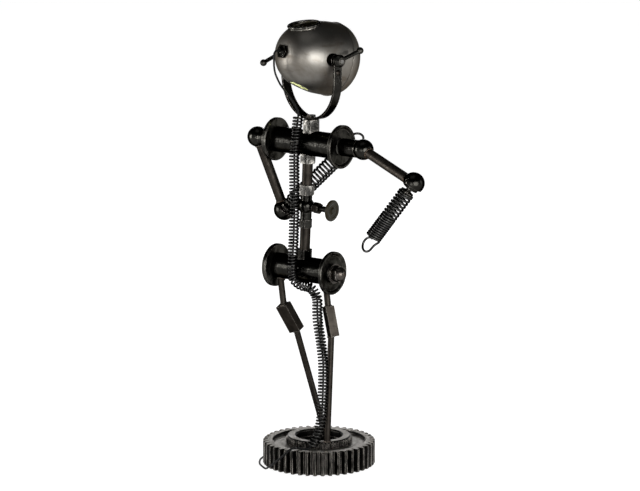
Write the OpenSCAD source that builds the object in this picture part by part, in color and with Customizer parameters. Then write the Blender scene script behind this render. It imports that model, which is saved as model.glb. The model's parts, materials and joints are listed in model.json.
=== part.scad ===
// Robot-shaped floor lamp: gear-wheel base, rod legs, pipe spine, ball-jointed arms, tilting lamp head.
// Millimetres, +Z up. X runs along the shoulder axle, -Y is the figure's front, the origin is under the gear.

/* [Base] */
// Number of teeth on the base gear
gear_teeth = 44; // [30:1:60]
// Diameter over the gear's tooth tips
gear_od = 230; // [200:1:280]
// Depth of a gear tooth
tooth_depth = 11; // [6:0.5:14]
// Height of the gear's rim
gear_h = 49; // [36:1:70]
// Chamfer at the tooth ends
tooth_chamfer = 2; // [0.5:0.5:4]
// Width of the flat ring outside the recess
rim_w = 8; // [5:0.5:14]
// Depth of the ring-shaped recess in the gear's top
recess_depth = 5; // [3:0.5:12]
// Outer diameter of the toothed ring on the gear's hub
ring_od = 136; // [124:1:150]
// Diameter of the bore through gear and ring
bore_d = 95; // [80:1:100]
// Height of the hub ring above the gear's rim
ring_rise = 10; // [5:0.5:16]
// Number of fine teeth round the hub ring
ring_teeth = 60; // [36:1:72]
// Thickness of the felt under the base
felt_t = 2; // [1:0.5:4]

/* [Legs] */
// Diameter of the leg rods
leg_d = 13; // [10:0.5:15]
// Width of the knee blocks
knee_w = 28; // [20:0.5:30]
// Thickness of the knee blocks
knee_t = 18; // [16:0.5:22]
// Length of the knee blocks
knee_len = 62; // [50:1:70]

/* [Hubs] */
// Outer diameter of the hip and shoulder barrels
barrel_d = 52; // [48:1:54]
// Bore of the barrels
barrel_bore = 40; // [36:1:42]
// Diameter of the four flanges
flange_d = 88; // [80:1:92]
// Thickness of a flange at its rim
flange_t = 9; // [7:0.5:11]
// Distance between the hip flanges
hip_span = 142; // [130:1:150]
// Distance between the shoulder flanges
shoulder_span = 164; // [150:1:174]
// Diameter of the axles inside the barrels
axle_d = 17; // [12:0.5:22]
// Width of the bearings and bushes on the axles
bearing_w = 12; // [8:0.5:16]
// Width across flats of the hip cap nuts
cap_nut_af = 30; // [24:0.5:32]

/* [Spine] */
// Height of the hip axle above the floor
hip_z = 408; // [395:1:420]
// Distance from the hip axle to the shoulder axle
spine_len = 261; // [252:1:272]
// Outer diameter of the spine pipes
pipe_d = 21.3; // [18:0.1:24]
// Wall of the spine pipes
pipe_wall = 2.6; // [1.5:0.1:4]
// Length of the lower pipe
lower_pipe_len = 46; // [38:1:52]
// Length of the tap from its lower face to its top face
tap_len = 88; // [82:1:94]
// Diameter of the tap's round body
tap_body_d = 34; // [30:1:38]
// Width across flats of the nuts on the spine
spine_nut_af = 29; // [26:0.5:32]
// Diameter of the tap's knob
knob_d = 44; // [32:1:50]
// Distance of the knob's face from the spine
knob_reach = 70; // [60:1:80]
// Diameter of the tap's stem
stem_d = 12; // [8:0.5:14]
// Width across flats of the neck nut
neck_af = 31; // [27:0.5:35]

/* [Arms] */
// Diameter of the ball on each shoulder
ball_d = 42; // [38:1:46]
// Diameter of the stub between flange and ball
stub_d = 36; // [30:1:38]
// Distance of the left ball's centre from the flange's middle
left_ball_reach = 48; // [46:1:60]
// Distance of the right ball's centre from the flange's middle
right_ball_reach = 55; // [50:1:62]
// Diameter of the upper arm tubes
arm_d = 20; // [16:0.5:23]
// Length of the upper arms between joint centres
arm_len = 160; // [145:1:170]
// Diameter of the elbow domes
elbow_d = 44; // [40:1:50]
// Diameter of the ball inside the elbow
elbow_ball_d = 22; // [18:0.5:24]
// Diameter of the elbow stud
stud_d = 12; // [9:0.5:13]
// Outer diameter of the forearm springs
forearm_od = 34; // [29:0.5:35]
// Wire of the forearm springs
forearm_wire = 4.2; // [2.5:0.1:4.6]
// Curls in a forearm spring
forearm_curls = 16; // [10:1:17]

/* [Yoke] */
// Room between the head's widest part and each arm of the yoke
yoke_room = 10.25; // [7:0.25:16]
// Height of the yoke's pivots above its underside
yoke_h = 128; // [122:1:136]
// Width of the yoke's strap
strap_w = 19; // [16:0.5:24]
// Thickness of the yoke's strap
strap_t = 4.5; // [3:0.5:6]
// Width of the yoke's flat foot between its two bends
yoke_flat = 9; // [7:1:60]
// Diameter of the pivot rod through the head
rod_d = 8; // [6:0.5:10]
// Diameter of the yoke's fixing bolt
yoke_bolt_d = 10; // [8:0.5:12]
// Diameter of a clamp lever's hub
lever_hub_d = 25; // [20:0.5:28]
// Length of a clamp lever's hub
lever_hub_len = 14; // [10:0.5:18]
// Distance of the lever's ball from the pivot
lever_len = 54; // [44:1:58]
// Diameter of the lever's ball
lever_ball_d = 14; // [10:0.5:18]

/* [Head] */
// Diameter of the head at its seam
head_d = 148; // [144:1:152]
// Depth of the front bowl
front_depth = 122; // [117:1:126]
// Fullness of the front bowl, where 2 is an ellipse
front_full = 2.6; // [2.3:0.1:2.8]
// Depth of the rear bowl
rear_depth = 48; // [42:1:60]
// Distance of the seam behind the pivot
seam_back = 50; // [46:1:54]
// Wall of the head's bowls
head_wall = 2; // [1.5:0.1:3]
// Depth by which the light mouth is cut into the front bowl
mouth_cut = 4; // [3:0.5:5]
// Outer diameter of the open collar on the head
collar_d = 65; // [60:1:70]
// Distance of the collar's lip from the pivot
collar_top = 68; // [67:0.5:74]
// Diameter of the bulb
bulb_d = 34; // [30:0.5:36]
// Diameter of the lamp holder
holder_d = 27; // [22:0.5:29]

/* [Cord] */
// Diameter of the lamp's cable
cord_d = 4; // [3.5:0.5:5]
// Outer diameter of the spine spring round the cable
spine_spring_od = 22; // [19:0.5:22.5]
// Wire of the spine spring
spine_wire = 3.8; // [2:0.1:4]
// Curls in the spine spring
spine_curls = 43; // [20:1:44]
// Turns in each layer of the stored cord
coil_turns = 4; // [3:1:4]

/* [Hidden] */
$fn = 64;

// Clearances
run_gap = 0.05;
body_gap = 0.3;
seat_gap = 0.1;
rest_gap = 0.25;
cut = 1;

// Heights and centres
gear_top = felt_t + gear_h;
ring_top = gear_top + ring_rise;
hip_c = [-23, -20, hip_z];
spine_lean = 2.5;
shoulder_c = hip_c + spine_len * [sin(spine_lean), 0, cos(spine_lean)];
neck_c = [-4.5, shoulder_c[1], shoulder_c[2]];
neck_seat = barrel_d / 2 - 1;
neck_top = shoulder_c[2] + 49;
yoke_turn = -16;
pivot_c = [neck_c[0], neck_c[1], neck_top + body_gap + yoke_h];

// Spine stations, measured up the spine from the hip axle
collar_top_h = 41;
tap_foot_h = collar_top_h + lower_pipe_len;
tap_top_h = tap_foot_h + tap_len;
tap_mid_h = tap_foot_h + 44;
tap_nut_h = 20;
shoulder_nut_h = 16;
shoulder_nut_foot_h = spine_len - barrel_d / 2 - shoulder_nut_h + 1;
gland_len = 14;
knob_t = 9;

// Leg points
left_thigh_top = hip_c + [-59, -6, 0];
left_knee_top = [-75, -20, hip_z - 84];
left_knee_foot = [-59, 0, hip_z - 132];
left_foot = [-24, 48, ring_top];
right_thigh_top = hip_c + [52, 0, 0];
right_knee_top = [38, -20, hip_z - 70];
right_knee_foot = [52, -20, hip_z - 130];
right_shin_top = right_knee_foot - [6, 0, 0];
right_foot = [48, -36, ring_top];
left_knee_spin = 51;
right_knee_spin = 37;

// Arm points, each elbow reached along two angles from its ball
left_ball = shoulder_c - [shoulder_span / 2 + left_ball_reach, 0, 0];
right_ball = shoulder_c + [shoulder_span / 2 + right_ball_reach, 0, 0];
axle_in_stub = 22;
stub_in_ball = 8;
function aim(turn, drop) = [cos(drop) * cos(turn), cos(drop) * sin(turn), -sin(drop)];
left_elbow_c = left_ball + arm_len * aim(31, 70);
right_elbow_c = right_ball + arm_len * aim(-13.5, 17);
left_hand = left_elbow_c + [144, 33, 145];
right_hand = right_elbow_c + [-72, -36, -112];
elbow_mouth = 12;
spring_start = elbow_mouth + 13;
spring_seat_t = 2;
spring_seat_in = 1;
spigot_len = 10;
elbow_pin_d = 6;
elbow_pin_in = 1.5;
// Turn about a forearm's axis that lays a cross pin along the given axis
function pin_turn_for(d, axis) =
  let (turn = atan2(d[1], d[0]), tilt = acos(d[2] / norm(d)))
  atan2(axis * [cos(turn) * cos(tilt), sin(turn) * cos(tilt), -sin(tilt)], axis * [sin(turn), -cos(turn), 0]);
left_pin_turn = 0;
right_pin_turn = pin_turn_for(right_hand - right_elbow_c,
  cross(right_elbow_c - right_ball, right_hand - right_elbow_c));
spigot_gap = 1;
forearm_r = (forearm_od - forearm_wire) / 2;
curl_rings = 8;
wire_sides = 6;
spigot_d = 2 * (forearm_r * cos(180 / curl_rings) - forearm_wire / 2 - spigot_gap);
left_forearm_len = norm(left_hand - left_elbow_c) - spring_start;
right_forearm_len = norm(right_hand - right_elbow_c) - spring_start;

// Gear sizes
root_d = gear_od - 2 * tooth_depth;
recess_od = root_d - 2 * rim_w;
web_step_d = ring_od + 16;
groove_depth = 1;
web_top = gear_top - recess_depth;
felt_margin = 14;
bore_lip = 3;
ring_chamfer = 5;

// Head sizes, w is measured forward from the pivot along the head's own axis
head_r = head_d / 2;
yoke_w = head_d + 2 * yoke_room + strap_t;
head_tilt = -12;
mouth_dip = 62;
collar_lean = 8;
collar_fore = 9;
collar_wall = 3;
front_pole = front_depth - seam_back;
// Distance from the pivot to the front bowl, at an angle from the head's axis, found by halving
function bowl_value(angle, out) =
  pow((out * cos(angle) + seam_back) / front_depth, front_full) + pow(out * sin(angle) / head_r, front_full);
function bowl_reach(angle, low = 0, high = front_depth, halvings = 24) =
  let (mid = (low + high) / 2)
  halvings == 0 ? mid : bowl_value(angle, mid) > 1
    ? bowl_reach(angle, low, mid, halvings - 1) : bowl_reach(angle, mid, high, halvings - 1);
shell_at_pivot = bowl_reach(90);
mouth_out = bowl_reach(mouth_dip - head_tilt) - mouth_cut;
gland_af = 26;
gland_out = 9;
gland_sunk = 3;
gland_cone_h = 4;
bowl_steps = 28;
rear_full = 2;
holder_from = 6;
holder_to = 22;
bulb_neck = 3;

// Yoke fittings
rivet_d = 5;
rivet_drop = 24;
rivet_head_d = 12;
rod_len = yoke_w + strap_t + 2 * lever_hub_len;
yoke_bend_r = (yoke_w - yoke_flat) / 2;
yoke_bolt_in = 15;
yoke_bolt_af = 17;
yoke_bolt_head = 3.5;
spacer_d = 26;
spacer_in = 8;
lever_rod_d = 8;
left_lever_angle = 202;
right_lever_angle = 18;

function unit(v) = v / norm(v);

// A point on a smooth curve through pts, with s running from 0 at the first to 1 at the last
function smooth_at(pts, s) =
  let (n = len(pts) - 1, k = min(floor(s * n), n - 1), t = s * n - k,
       b = pts[k], c = pts[k + 1],
       a = k > 0 ? pts[k - 1] : 2 * b - c,
       d = k < n - 1 ? pts[k + 2] : 2 * c - b)
  b + 0.5 * t * (c - a + t * (2 * a - 5 * b + 4 * c - d + t * (3 * (b - c) + d - a)));
function smooth_dir(pts, s) =
  unit(smooth_at(pts, min(1, s + 0.002)) - smooth_at(pts, max(0, s - 0.002)));

// Points of a helix of radius r round a smooth route, with straight ends along the route
function route_helix(route, r, curls, rings, ref) =
  [for (i = [0 : curls * rings])
    let (s = i / (curls * rings), t = smooth_dir(route, s),
         u = unit(ref - (ref * t) * t), v = cross(t, u), turn = 360 * i / rings)
    smooth_at(route, s) + r * (cos(turn) * u + sin(turn) * v)];

// Least gap between turns of a wire, on points at least half a turn apart
function least_gap(pts, wire, rings) =
  min([for (i = [0 : len(pts) - 1])
    for (j = [i + floor(rings / 2) + 1 : min(i + 3 * rings, len(pts) - 1)])
    norm(pts[i] - pts[j])]) - wire;

// A closed tube of triangles swept along points, its rings kept square to the path
function path_dir(pts, i) =
  unit(pts[min(i + 1, len(pts) - 1)] - pts[max(i - 1, 0)]);
function carried(u, t) = unit(u - (u * t) * t);
function start_side(t) = carried(abs(t[2]) < 0.9 ? [0, 0, 1] : [1, 0, 0], t);
module tube(pts, r, sides) {
  n = len(pts);
  dirs = [for (i = [0 : n - 1]) path_dir(pts, i)];
  frames = [for (i = 0, u = start_side(dirs[0]); i < n; i = i + 1,
    u = i < n ? carried(u, dirs[i]) : u) u];
  rings = [for (i = [0 : n - 1]) for (k = [0 : sides - 1])
    let (a = 360 * k / sides, v = cross(dirs[i], frames[i]))
    pts[i] + r * (cos(a) * frames[i] + sin(a) * v)];
  skin = [for (i = [0 : n - 2]) for (k = [0 : sides - 1])
    let (a = i * sides + k, b = i * sides + (k + 1) % sides)
    each [[a, a + sides, b + sides], [a, b + sides, b]]];
  first = [for (k = [1 : sides - 2]) [0, k, k + 1]];
  last = [for (k = [1 : sides - 2]) let (o = (n - 1) * sides) [o, o + k + 1, o + k]];
  polyhedron(points = rings, faces = concat(skin, first, last));
}

// Children stand along the line from a to b, with their own +Z on it
module along(a, b) {
  d = b - a;
  translate(a) rotate([0, acos(d[2] / norm(d)), atan2(d[1], d[0])]) children();
}
module rod(a, b, d) {
  along(a, b) cylinder(d = d, h = norm(b - a));
}
module hex(af, h) {
  cylinder(d = af / cos(30), h = h, $fn = 6);
}
module at_x(x) {
  translate([x, 0, 0]) rotate([0, 90, 0]) children();
}
module on_spine(h) {
  translate(hip_c) rotate([0, spine_lean, 0]) translate([0, 0, h]) children();
}
module barrel_cut(centre, grow) {
  translate(centre) rotate([0, 90, 0]) cylinder(d = barrel_d + 2 * grow, h = 400, center = true);
}

// Base
function tooth_ring(count, tip_r, root_r, tip_share, root_share) =
  [for (i = [0 : count - 1]) each
    [for (p = [[root_r, -root_share], [tip_r, -tip_share], [tip_r, tip_share], [root_r, root_share]])
      let (a = 360 / count * (i + p[1])) p[0] * [cos(a), sin(a)]]];
module chamfered_round(d, h, c) {
  rotate_extrude($fn = 128)
    polygon([[0, 0], [d / 2 - c, 0], [d / 2, c], [d / 2, h - c], [d / 2 - c, h], [0, h]]);
}
module base_felt() {
  color([0.08, 0.08, 0.08]) cylinder(d = root_d - felt_margin, h = felt_t);
}
module base_gear() {
  color([0.22, 0.2, 0.18]) translate([0, 0, felt_t]) difference() {
    intersection() {
      linear_extrude(gear_h)
        polygon(tooth_ring(gear_teeth, gear_od / 2, root_d / 2, 0.13, 0.34));
      chamfered_round(gear_od, gear_h, tooth_chamfer);
    }
    translate([0, 0, -cut]) cylinder(d = bore_d, h = gear_h + 2 * cut);
    translate([0, 0, gear_h - recess_depth]) rotate_extrude($fn = 128)
      polygon([[bore_d / 2 - cut, 0], [web_step_d / 2, 0], [web_step_d / 2 + 4, -groove_depth],
        [recess_od / 2 - 2, -groove_depth], [recess_od / 2, recess_depth + cut],
        [bore_d / 2 - cut, recess_depth + cut]]);
  }
}
module hub_ring() {
  h = recess_depth + ring_rise;
  color([0.3, 0.28, 0.26]) translate([0, 0, web_top]) difference() {
    intersection() {
      linear_extrude(h)
        polygon(tooth_ring(ring_teeth, ring_od / 2, ring_od / 2 - 3, 0.17, 0.33));
      rotate_extrude($fn = 128)
        polygon([[0, 0], [ring_od / 2, 0], [ring_od / 2, h - ring_chamfer],
          [ring_od / 2 - ring_chamfer, h], [0, h]]);
    }
    translate([0, 0, -cut]) cylinder(d = bore_d, h = h + 2 * cut);
    translate([0, 0, h - bore_lip])
      cylinder(d1 = bore_d, d2 = bore_d + 2 * (bore_lip + cut), h = bore_lip + cut);
  }
}

// Legs
module knee_block(top, foot, spin, grow) {
  mid = (top + foot) / 2;
  translate(mid) along([0, 0, 0], foot - top) rotate([0, 0, spin])
    cube([knee_w + 2 * grow, knee_t + 2 * grow, knee_len + 2 * grow], center = true);
}
module knee(top, foot, spin) {
  color([0.13, 0.12, 0.11]) knee_block(top, foot, spin, 0);
}
module thigh(hip, top, foot, spin) {
  color([0.11, 0.1, 0.1]) difference() {
    rod(hip, top, leg_d);
    barrel_cut(hip_c, seat_gap);
    knee_block(top, foot, spin, seat_gap);
  }
}
// A shin runs on a little below the ring's top, where it is cut flat
module shin(top, foot, spin, start, ground) {
  reach = ground + 0.1 * (ground - start);
  color([0.14, 0.12, 0.11]) difference() {
    rod(start, reach, leg_d);
    knee_block(top, foot, spin, seat_gap);
    translate([0, 0, ring_top - 100]) cube([300, 300, 200], center = true);
  }
}
module left_thigh() {
  thigh(left_thigh_top, left_knee_top, left_knee_foot, left_knee_spin);
}
module left_knee() {
  knee(left_knee_top, left_knee_foot, left_knee_spin);
}
module left_shin() {
  shin(left_knee_top, left_knee_foot, left_knee_spin, left_knee_foot, left_foot);
}
module right_thigh() {
  thigh(right_thigh_top, right_knee_top, right_knee_foot, right_knee_spin);
}
module right_knee() {
  knee(right_knee_top, right_knee_foot, right_knee_spin);
}
module right_shin() {
  shin(right_knee_top, right_knee_foot, right_knee_spin, right_shin_top, right_foot);
}

// Hubs
module barrel(centre, span) {
  len = span - flange_t;
  color([0.1, 0.1, 0.1]) translate(centre) rotate([0, 90, 0]) difference() {
    cylinder(d = barrel_d, h = len, center = true);
    cylinder(d = barrel_bore, h = len + 2 * cut, center = true);
  }
}
// A dished flange, its hollow face towards +Z
module flange_disc(bore) {
  r = flange_d / 2;
  lip = 4;
  floor_t = flange_t / 2;
  color([0.11, 0.11, 0.11]) rotate_extrude($fn = 96)
    polygon([
      [bore / 2, 0], [r - 2, 0], [r, 2], [r, flange_t - 1], [r - 1, flange_t],
      [r - lip, flange_t], [r - lip - 4, floor_t], [bore / 2 + 8, floor_t],
      [bore / 2 + 6, flange_t - 1], [bore / 2, flange_t - 1]]);
}
module flange(centre, span, side, bore) {
  translate(centre + [side * (span - flange_t) / 2, 0, 0]) rotate([0, side * 90, 0]) flange_disc(bore);
}
module hip_barrel() {
  barrel(hip_c, hip_span);
}
module hip_flange_left() {
  flange(hip_c, hip_span, -1, axle_d + 2 * seat_gap);
}
module hip_flange_right() {
  flange(hip_c, hip_span, 1, axle_d + 2 * seat_gap);
}
module bearing_pair(centre, span) {
  x = (span - flange_t - bearing_w) / 2;
  color([0.6, 0.6, 0.6]) translate(centre) for (side = [-1, 1]) at_x(side * x) difference() {
    cylinder(d = barrel_bore - 2 * seat_gap, h = bearing_w, center = true);
    cylinder(d = axle_d + 2 * seat_gap, h = bearing_w + 2 * cut, center = true);
  }
}
module hip_bearings() {
  bearing_pair(hip_c, hip_span);
}
module hip_axle() {
  color([0.4, 0.4, 0.4]) translate(hip_c) rotate([0, 90, 0])
    cylinder(d = axle_d, h = hip_span + flange_t - 2, center = true);
}
module cap_nut() {
  washer_t = 4;
  nut_h = 12;
  dome_sunk = 2;
  cylinder(d = cap_nut_af + 10, h = washer_t);
  translate([0, 0, washer_t]) hex(cap_nut_af, nut_h);
  translate([0, 0, washer_t + nut_h]) intersection() {
    translate([0, 0, -dome_sunk]) sphere(d = cap_nut_af);
    cylinder(d = cap_nut_af, h = cap_nut_af);
  }
}
module hip_cap_nuts() {
  color([0.3, 0.25, 0.2]) for (side = [-1, 1])
    translate(hip_c + [side * (hip_span + flange_t - 2) / 2, 0, 0]) rotate([0, side * 90, 0]) cap_nut();
}

// Spine
module saddle_nut(h0, h1, af, d, centre) {
  difference() {
    intersection() {
      on_spine(h0) hex(af, h1 - h0);
      on_spine(h0) cylinder(d1 = d, d2 = d, h = h1 - h0);
    }
    barrel_cut(centre, seat_gap);
  }
}
module hip_collar() {
  color([0.12, 0.12, 0.11])
    saddle_nut(barrel_d / 4, collar_top_h, spine_nut_af, spine_nut_af + 3, hip_c);
}
module pipe(h0, length) {
  color([0.12, 0.11, 0.1]) on_spine(h0) difference() {
    cylinder(d = pipe_d, h = length);
    translate([0, 0, -cut]) cylinder(d = pipe_d - 2 * pipe_wall, h = length + 2 * cut);
  }
}
module lower_pipe() {
  pipe(collar_top_h, lower_pipe_len);
}
module upper_pipe() {
  pipe(tap_top_h, shoulder_nut_foot_h - tap_top_h);
}
module tap_body() {
  color([0.13, 0.12, 0.11]) difference() {
    union() {
      on_spine(tap_foot_h) hex(spine_nut_af - 4, 16);
      on_spine(tap_foot_h + 16) cylinder(d = pipe_d + 2, h = tap_len - 16 - tap_nut_h);
      on_spine(tap_mid_h) sphere(d = tap_body_d);
      on_spine(tap_mid_h) rotate([0, 90, 0]) cylinder(d = stem_d + 8, h = tap_body_d / 2 + 4);
    }
    on_spine(tap_mid_h) rotate([0, 90, 0]) cylinder(d = stem_d + 2 * run_gap, h = tap_body_d);
    on_spine(tap_foot_h - cut) cylinder(d = pipe_d - 2 * pipe_wall, h = 16);
  }
}
module tap_gland_nut() {
  color([0.16, 0.15, 0.13]) on_spine(tap_mid_h) translate([tap_body_d / 2 + 4, 0, 0]) rotate([0, 90, 0])
    difference() {
      hex(stem_d + 8, gland_len);
      translate([0, 0, -cut]) cylinder(d = stem_d + 2 * run_gap, h = gland_len + 2 * cut);
    }
}
module tap_knob() {
  r = knob_d / 2;
  color([0.2, 0.18, 0.12]) on_spine(tap_mid_h) rotate([0, 90, 0]) {
    translate([0, 0, 1]) cylinder(d = stem_d, h = knob_reach - knob_t - 1);
    translate([0, 0, knob_reach - knob_t]) rotate_extrude()
      polygon([[0, 0], [r - 3, 0], [r, 2.5], [r, 5], [r - 2, 7], [r - 7, 7], [r - 9, 6], [8, 6], [6, knob_t],
        [0, knob_t]]);
  }
}
module tap_top_nut() {
  color([0.5, 0.5, 0.48]) on_spine(tap_top_h - tap_nut_h) difference() {
    hex(spine_nut_af, tap_nut_h);
    translate([0, 0, -cut]) cylinder(d = pipe_d - 2 * pipe_wall, h = tap_nut_h + 2 * cut);
  }
}
module shoulder_nut() {
  color([0.12, 0.12, 0.11])
    saddle_nut(shoulder_nut_foot_h, spine_len - barrel_d / 4, spine_nut_af, spine_nut_af + 4, shoulder_c);
}

// Shoulders and neck
module shoulder_barrel() {
  barrel(shoulder_c, shoulder_span);
}
module shoulder_flange_left() {
  flange(shoulder_c, shoulder_span, -1, axle_d + 2 * seat_gap);
}
module shoulder_flange_right() {
  flange(shoulder_c, shoulder_span, 1, axle_d + 2 * seat_gap);
}
module shoulder_bushes() {
  bearing_pair(shoulder_c, shoulder_span);
}
module shoulder_axle() {
  color([0.4, 0.4, 0.4]) translate(shoulder_c) rotate([0, 90, 0])
    cylinder(d = axle_d, h = shoulder_span + flange_t + 2 * axle_in_stub, center = true);
}
module neck_nut() {
  h = neck_top - neck_c[2] - neck_seat;
  color([0.3, 0.3, 0.28]) difference() {
    translate([neck_c[0], neck_c[1], neck_c[2] + neck_seat - 10]) hex(neck_af, h + 10);
    barrel_cut(shoulder_c, seat_gap);
    translate([neck_c[0], neck_c[1], neck_top - yoke_bolt_in - cut])
      cylinder(d = yoke_bolt_d + 2 * seat_gap, h = yoke_bolt_in + 2 * cut);
  }
}

// Arms
module stub_solid(side, reach, grow) {
  face = (shoulder_span + flange_t) / 2 + body_gap;
  ball_x = shoulder_span / 2 + reach;
  translate(shoulder_c) {
    translate([side * face, 0, 0]) rotate([0, side * 90, 0])
      cylinder(d = stub_d + 2 * grow, h = ball_x - face - ball_d / 2 + stub_in_ball + grow);
    translate([side * ball_x, 0, 0]) sphere(d = ball_d + 2 * grow);
  }
}
module ball_stub(side, reach) {
  face = (shoulder_span + flange_t) / 2;
  color([0.1, 0.1, 0.1]) difference() {
    stub_solid(side, reach, 0);
    translate(shoulder_c + [side * (face - cut), 0, 0]) rotate([0, side * 90, 0])
      cylinder(d = axle_d + 2 * run_gap, h = axle_in_stub + cut + 2 * body_gap);
  }
}
module arm_tube(side, reach, ball, elbow) {
  color([0.13, 0.11, 0.1]) difference() {
    rod(ball, elbow, arm_d);
    stub_solid(side, reach, seat_gap);
    translate(elbow) sphere(d = elbow_d + 2 * seat_gap);
  }
}
// A mushroom-shaped ball-joint housing, its mouth towards +Z
module elbow_dome(pin_turn) {
  r = elbow_d / 2;
  color([0.12, 0.11, 0.1]) difference() {
    union() {
      intersection() {
        sphere(r = r);
        translate([0, 0, 5 - elbow_d]) cylinder(d = 2 * elbow_d, h = elbow_d);
      }
      cylinder(d = elbow_ball_d + 10, h = elbow_mouth);
    }
    sphere(d = elbow_ball_d + 2 * body_gap);
    cylinder(d1 = stud_d, d2 = stud_d + 12, h = elbow_mouth + 0.01);
    cross_pin(elbow_pin_d + 2 * run_gap, elbow_d + 2 * cut, pin_turn);
  }
}
module cross_pin(d, length, pin_turn) {
  rotate([0, 0, pin_turn]) rotate([90, 0, 0]) cylinder(d = d, h = length, center = true);
}
// A ball stud on its cross pin, with a seat that the forearm spring stands on and a spigot in its curls
module ball_stud(pin_turn) {
  seat_z = spring_start - forearm_wire / 2 - seat_gap;
  color([0.25, 0.24, 0.22]) {
    sphere(d = elbow_ball_d);
    cross_pin(elbow_pin_d, elbow_d - 2 * elbow_pin_in, pin_turn);
    cylinder(d = stud_d, h = seat_z);
    translate([0, 0, seat_z - spring_seat_t])
      cylinder(d = 2 * (forearm_r - spring_seat_in), h = spring_seat_t);
    translate([0, 0, seat_z - cut]) cylinder(d = spigot_d, h = spigot_len + cut);
  }
}
// Centre line of a forearm spring: curls round +Z from its seat, then an open end loop as a hand
function forearm_line(length) =
  let (n = forearm_curls * curl_rings, r = forearm_r, pitch = length / forearm_curls)
  concat(
    [[r, -forearm_wire, 0]],
    [for (i = [0 : n]) let (a = 360 * i / curl_rings) [r * cos(a), r * sin(a), length * i / n]],
    [for (k = [1 : 4]) let (a = 45 * (1 - pow(1 - k / 4, 2)))
      [r * cos(a), r * sin(a), length + pitch / 8 * k + 0.9 * r * pow(k / 4, 2)]],
    [for (q = [1 : 10]) let (a = 27 * q, out = r * cos(a), z = length + pitch / 2 + r * (0.9 + sin(a)))
      [out * cos(45), out * sin(45), z]]);
left_forearm_line = forearm_line(left_forearm_len);
right_forearm_line = forearm_line(right_forearm_len);
module forearm_spring(line) {
  color([0.15, 0.14, 0.13]) translate([0, 0, spring_start]) tube(line, forearm_wire / 2, wire_sides);
}
module left_ball_stub() {
  ball_stub(-1, left_ball_reach);
}
module left_arm_tube() {
  arm_tube(-1, left_ball_reach, left_ball, left_elbow_c);
}
module left_elbow() {
  along(left_elbow_c, left_hand) elbow_dome(left_pin_turn);
}
module left_elbow_stud() {
  along(left_elbow_c, left_hand) ball_stud(left_pin_turn);
}
module left_forearm_spring() {
  along(left_elbow_c, left_hand) forearm_spring(left_forearm_line);
}
module right_ball_stub() {
  ball_stub(1, right_ball_reach);
}
module right_arm_tube() {
  arm_tube(1, right_ball_reach, right_ball, right_elbow_c);
}
module right_elbow() {
  along(right_elbow_c, right_hand) elbow_dome(right_pin_turn);
}
module right_elbow_stud() {
  along(right_elbow_c, right_hand) ball_stud(right_pin_turn);
}
module right_forearm_spring() {
  along(right_elbow_c, right_hand) forearm_spring(right_forearm_line);
}

// Yoke and its fittings, drawn round the pivot with local X along the pivot rod and -Y to the front
module at_pivot() {
  translate(pivot_c) rotate([0, 0, yoke_turn]) children();
}
// Outline of a U with round bends, seen along Y
module u_shape(half_w, bend_r, foot, top) {
  translate([-half_w, foot + bend_r]) square([2 * half_w, top - foot - bend_r]);
  translate([-(half_w - bend_r), foot]) square([2 * (half_w - bend_r), bend_r + 1]);
  for (side = [-1, 1]) translate([side * (half_w - bend_r), foot + bend_r]) circle(r = bend_r, $fn = 128);
}
module yoke() {
  half = yoke_w / 2;
  top = strap_w / 2;
  color([0.11, 0.11, 0.11]) at_pivot() difference() {
    intersection() {
      rotate([90, 0, 0]) linear_extrude(strap_w, center = true) difference() {
        u_shape(half + strap_t / 2, yoke_bend_r + strap_t / 2, -yoke_h, top);
        u_shape(half - strap_t / 2, yoke_bend_r - strap_t / 2, -yoke_h + strap_t, top + cut);
      }
      rotate([0, 90, 0]) union() {
        cylinder(d = strap_w, h = 2 * yoke_w, center = true);
        translate([0, -strap_w / 2, -yoke_w]) cube([yoke_h + cut, strap_w, 2 * yoke_w]);
      }
    }
    rotate([0, 90, 0]) cylinder(d = rod_d + 2 * run_gap, h = 2 * yoke_w, center = true);
    translate([0, 0, -yoke_h - cut]) cylinder(d = yoke_bolt_d + 2 * run_gap, h = strap_t + 2 * cut);
    rotate([0, 90, 0]) translate([rivet_drop, 0, 0]) cylinder(d = rivet_d, h = 2 * yoke_w, center = true);
  }
}
module yoke_bolt() {
  seat = neck_top + body_gap + strap_t + body_gap;
  color([0.2, 0.2, 0.2]) translate([neck_c[0], neck_c[1], 0]) {
    translate([0, 0, neck_top - yoke_bolt_in]) cylinder(d = yoke_bolt_d, h = seat - neck_top + yoke_bolt_in);
    translate([0, 0, seat]) hex(yoke_bolt_af, yoke_bolt_head);
  }
}
module yoke_rivets() {
  color([0.35, 0.33, 0.3]) at_pivot() for (side = [-1, 1])
    translate([side * (yoke_w / 2), 0, -rivet_drop]) rotate([0, side * 90, 0]) {
      cylinder(d = rivet_d - 2 * seat_gap, h = strap_t, center = true);
      translate([0, 0, strap_t / 2]) intersection() {
        translate([0, 0, -rivet_head_d / 3]) sphere(d = rivet_head_d * 1.25);
        cylinder(d = rivet_head_d, h = rivet_head_d);
      }
    }
}
module pivot_rod() {
  color([0.5, 0.5, 0.5]) at_pivot() rotate([0, 90, 0]) cylinder(d = rod_d, h = rod_len, center = true);
}
module pivot_spacers() {
  x0 = shell_at_pivot - spacer_in;
  x1 = (yoke_w - strap_t) / 2 - body_gap;
  color([0.15, 0.15, 0.15]) difference() {
    at_pivot() for (side = [-1, 1]) translate([side * x0, 0, 0]) rotate([0, side * 90, 0]) difference() {
      cylinder(d = spacer_d, h = x1 - x0);
      translate([0, 0, -cut]) cylinder(d = rod_d + 2 * seat_gap, h = x1 - x0 + 2 * cut);
    }
    in_head() head_solid(seat_gap);
  }
}
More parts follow.
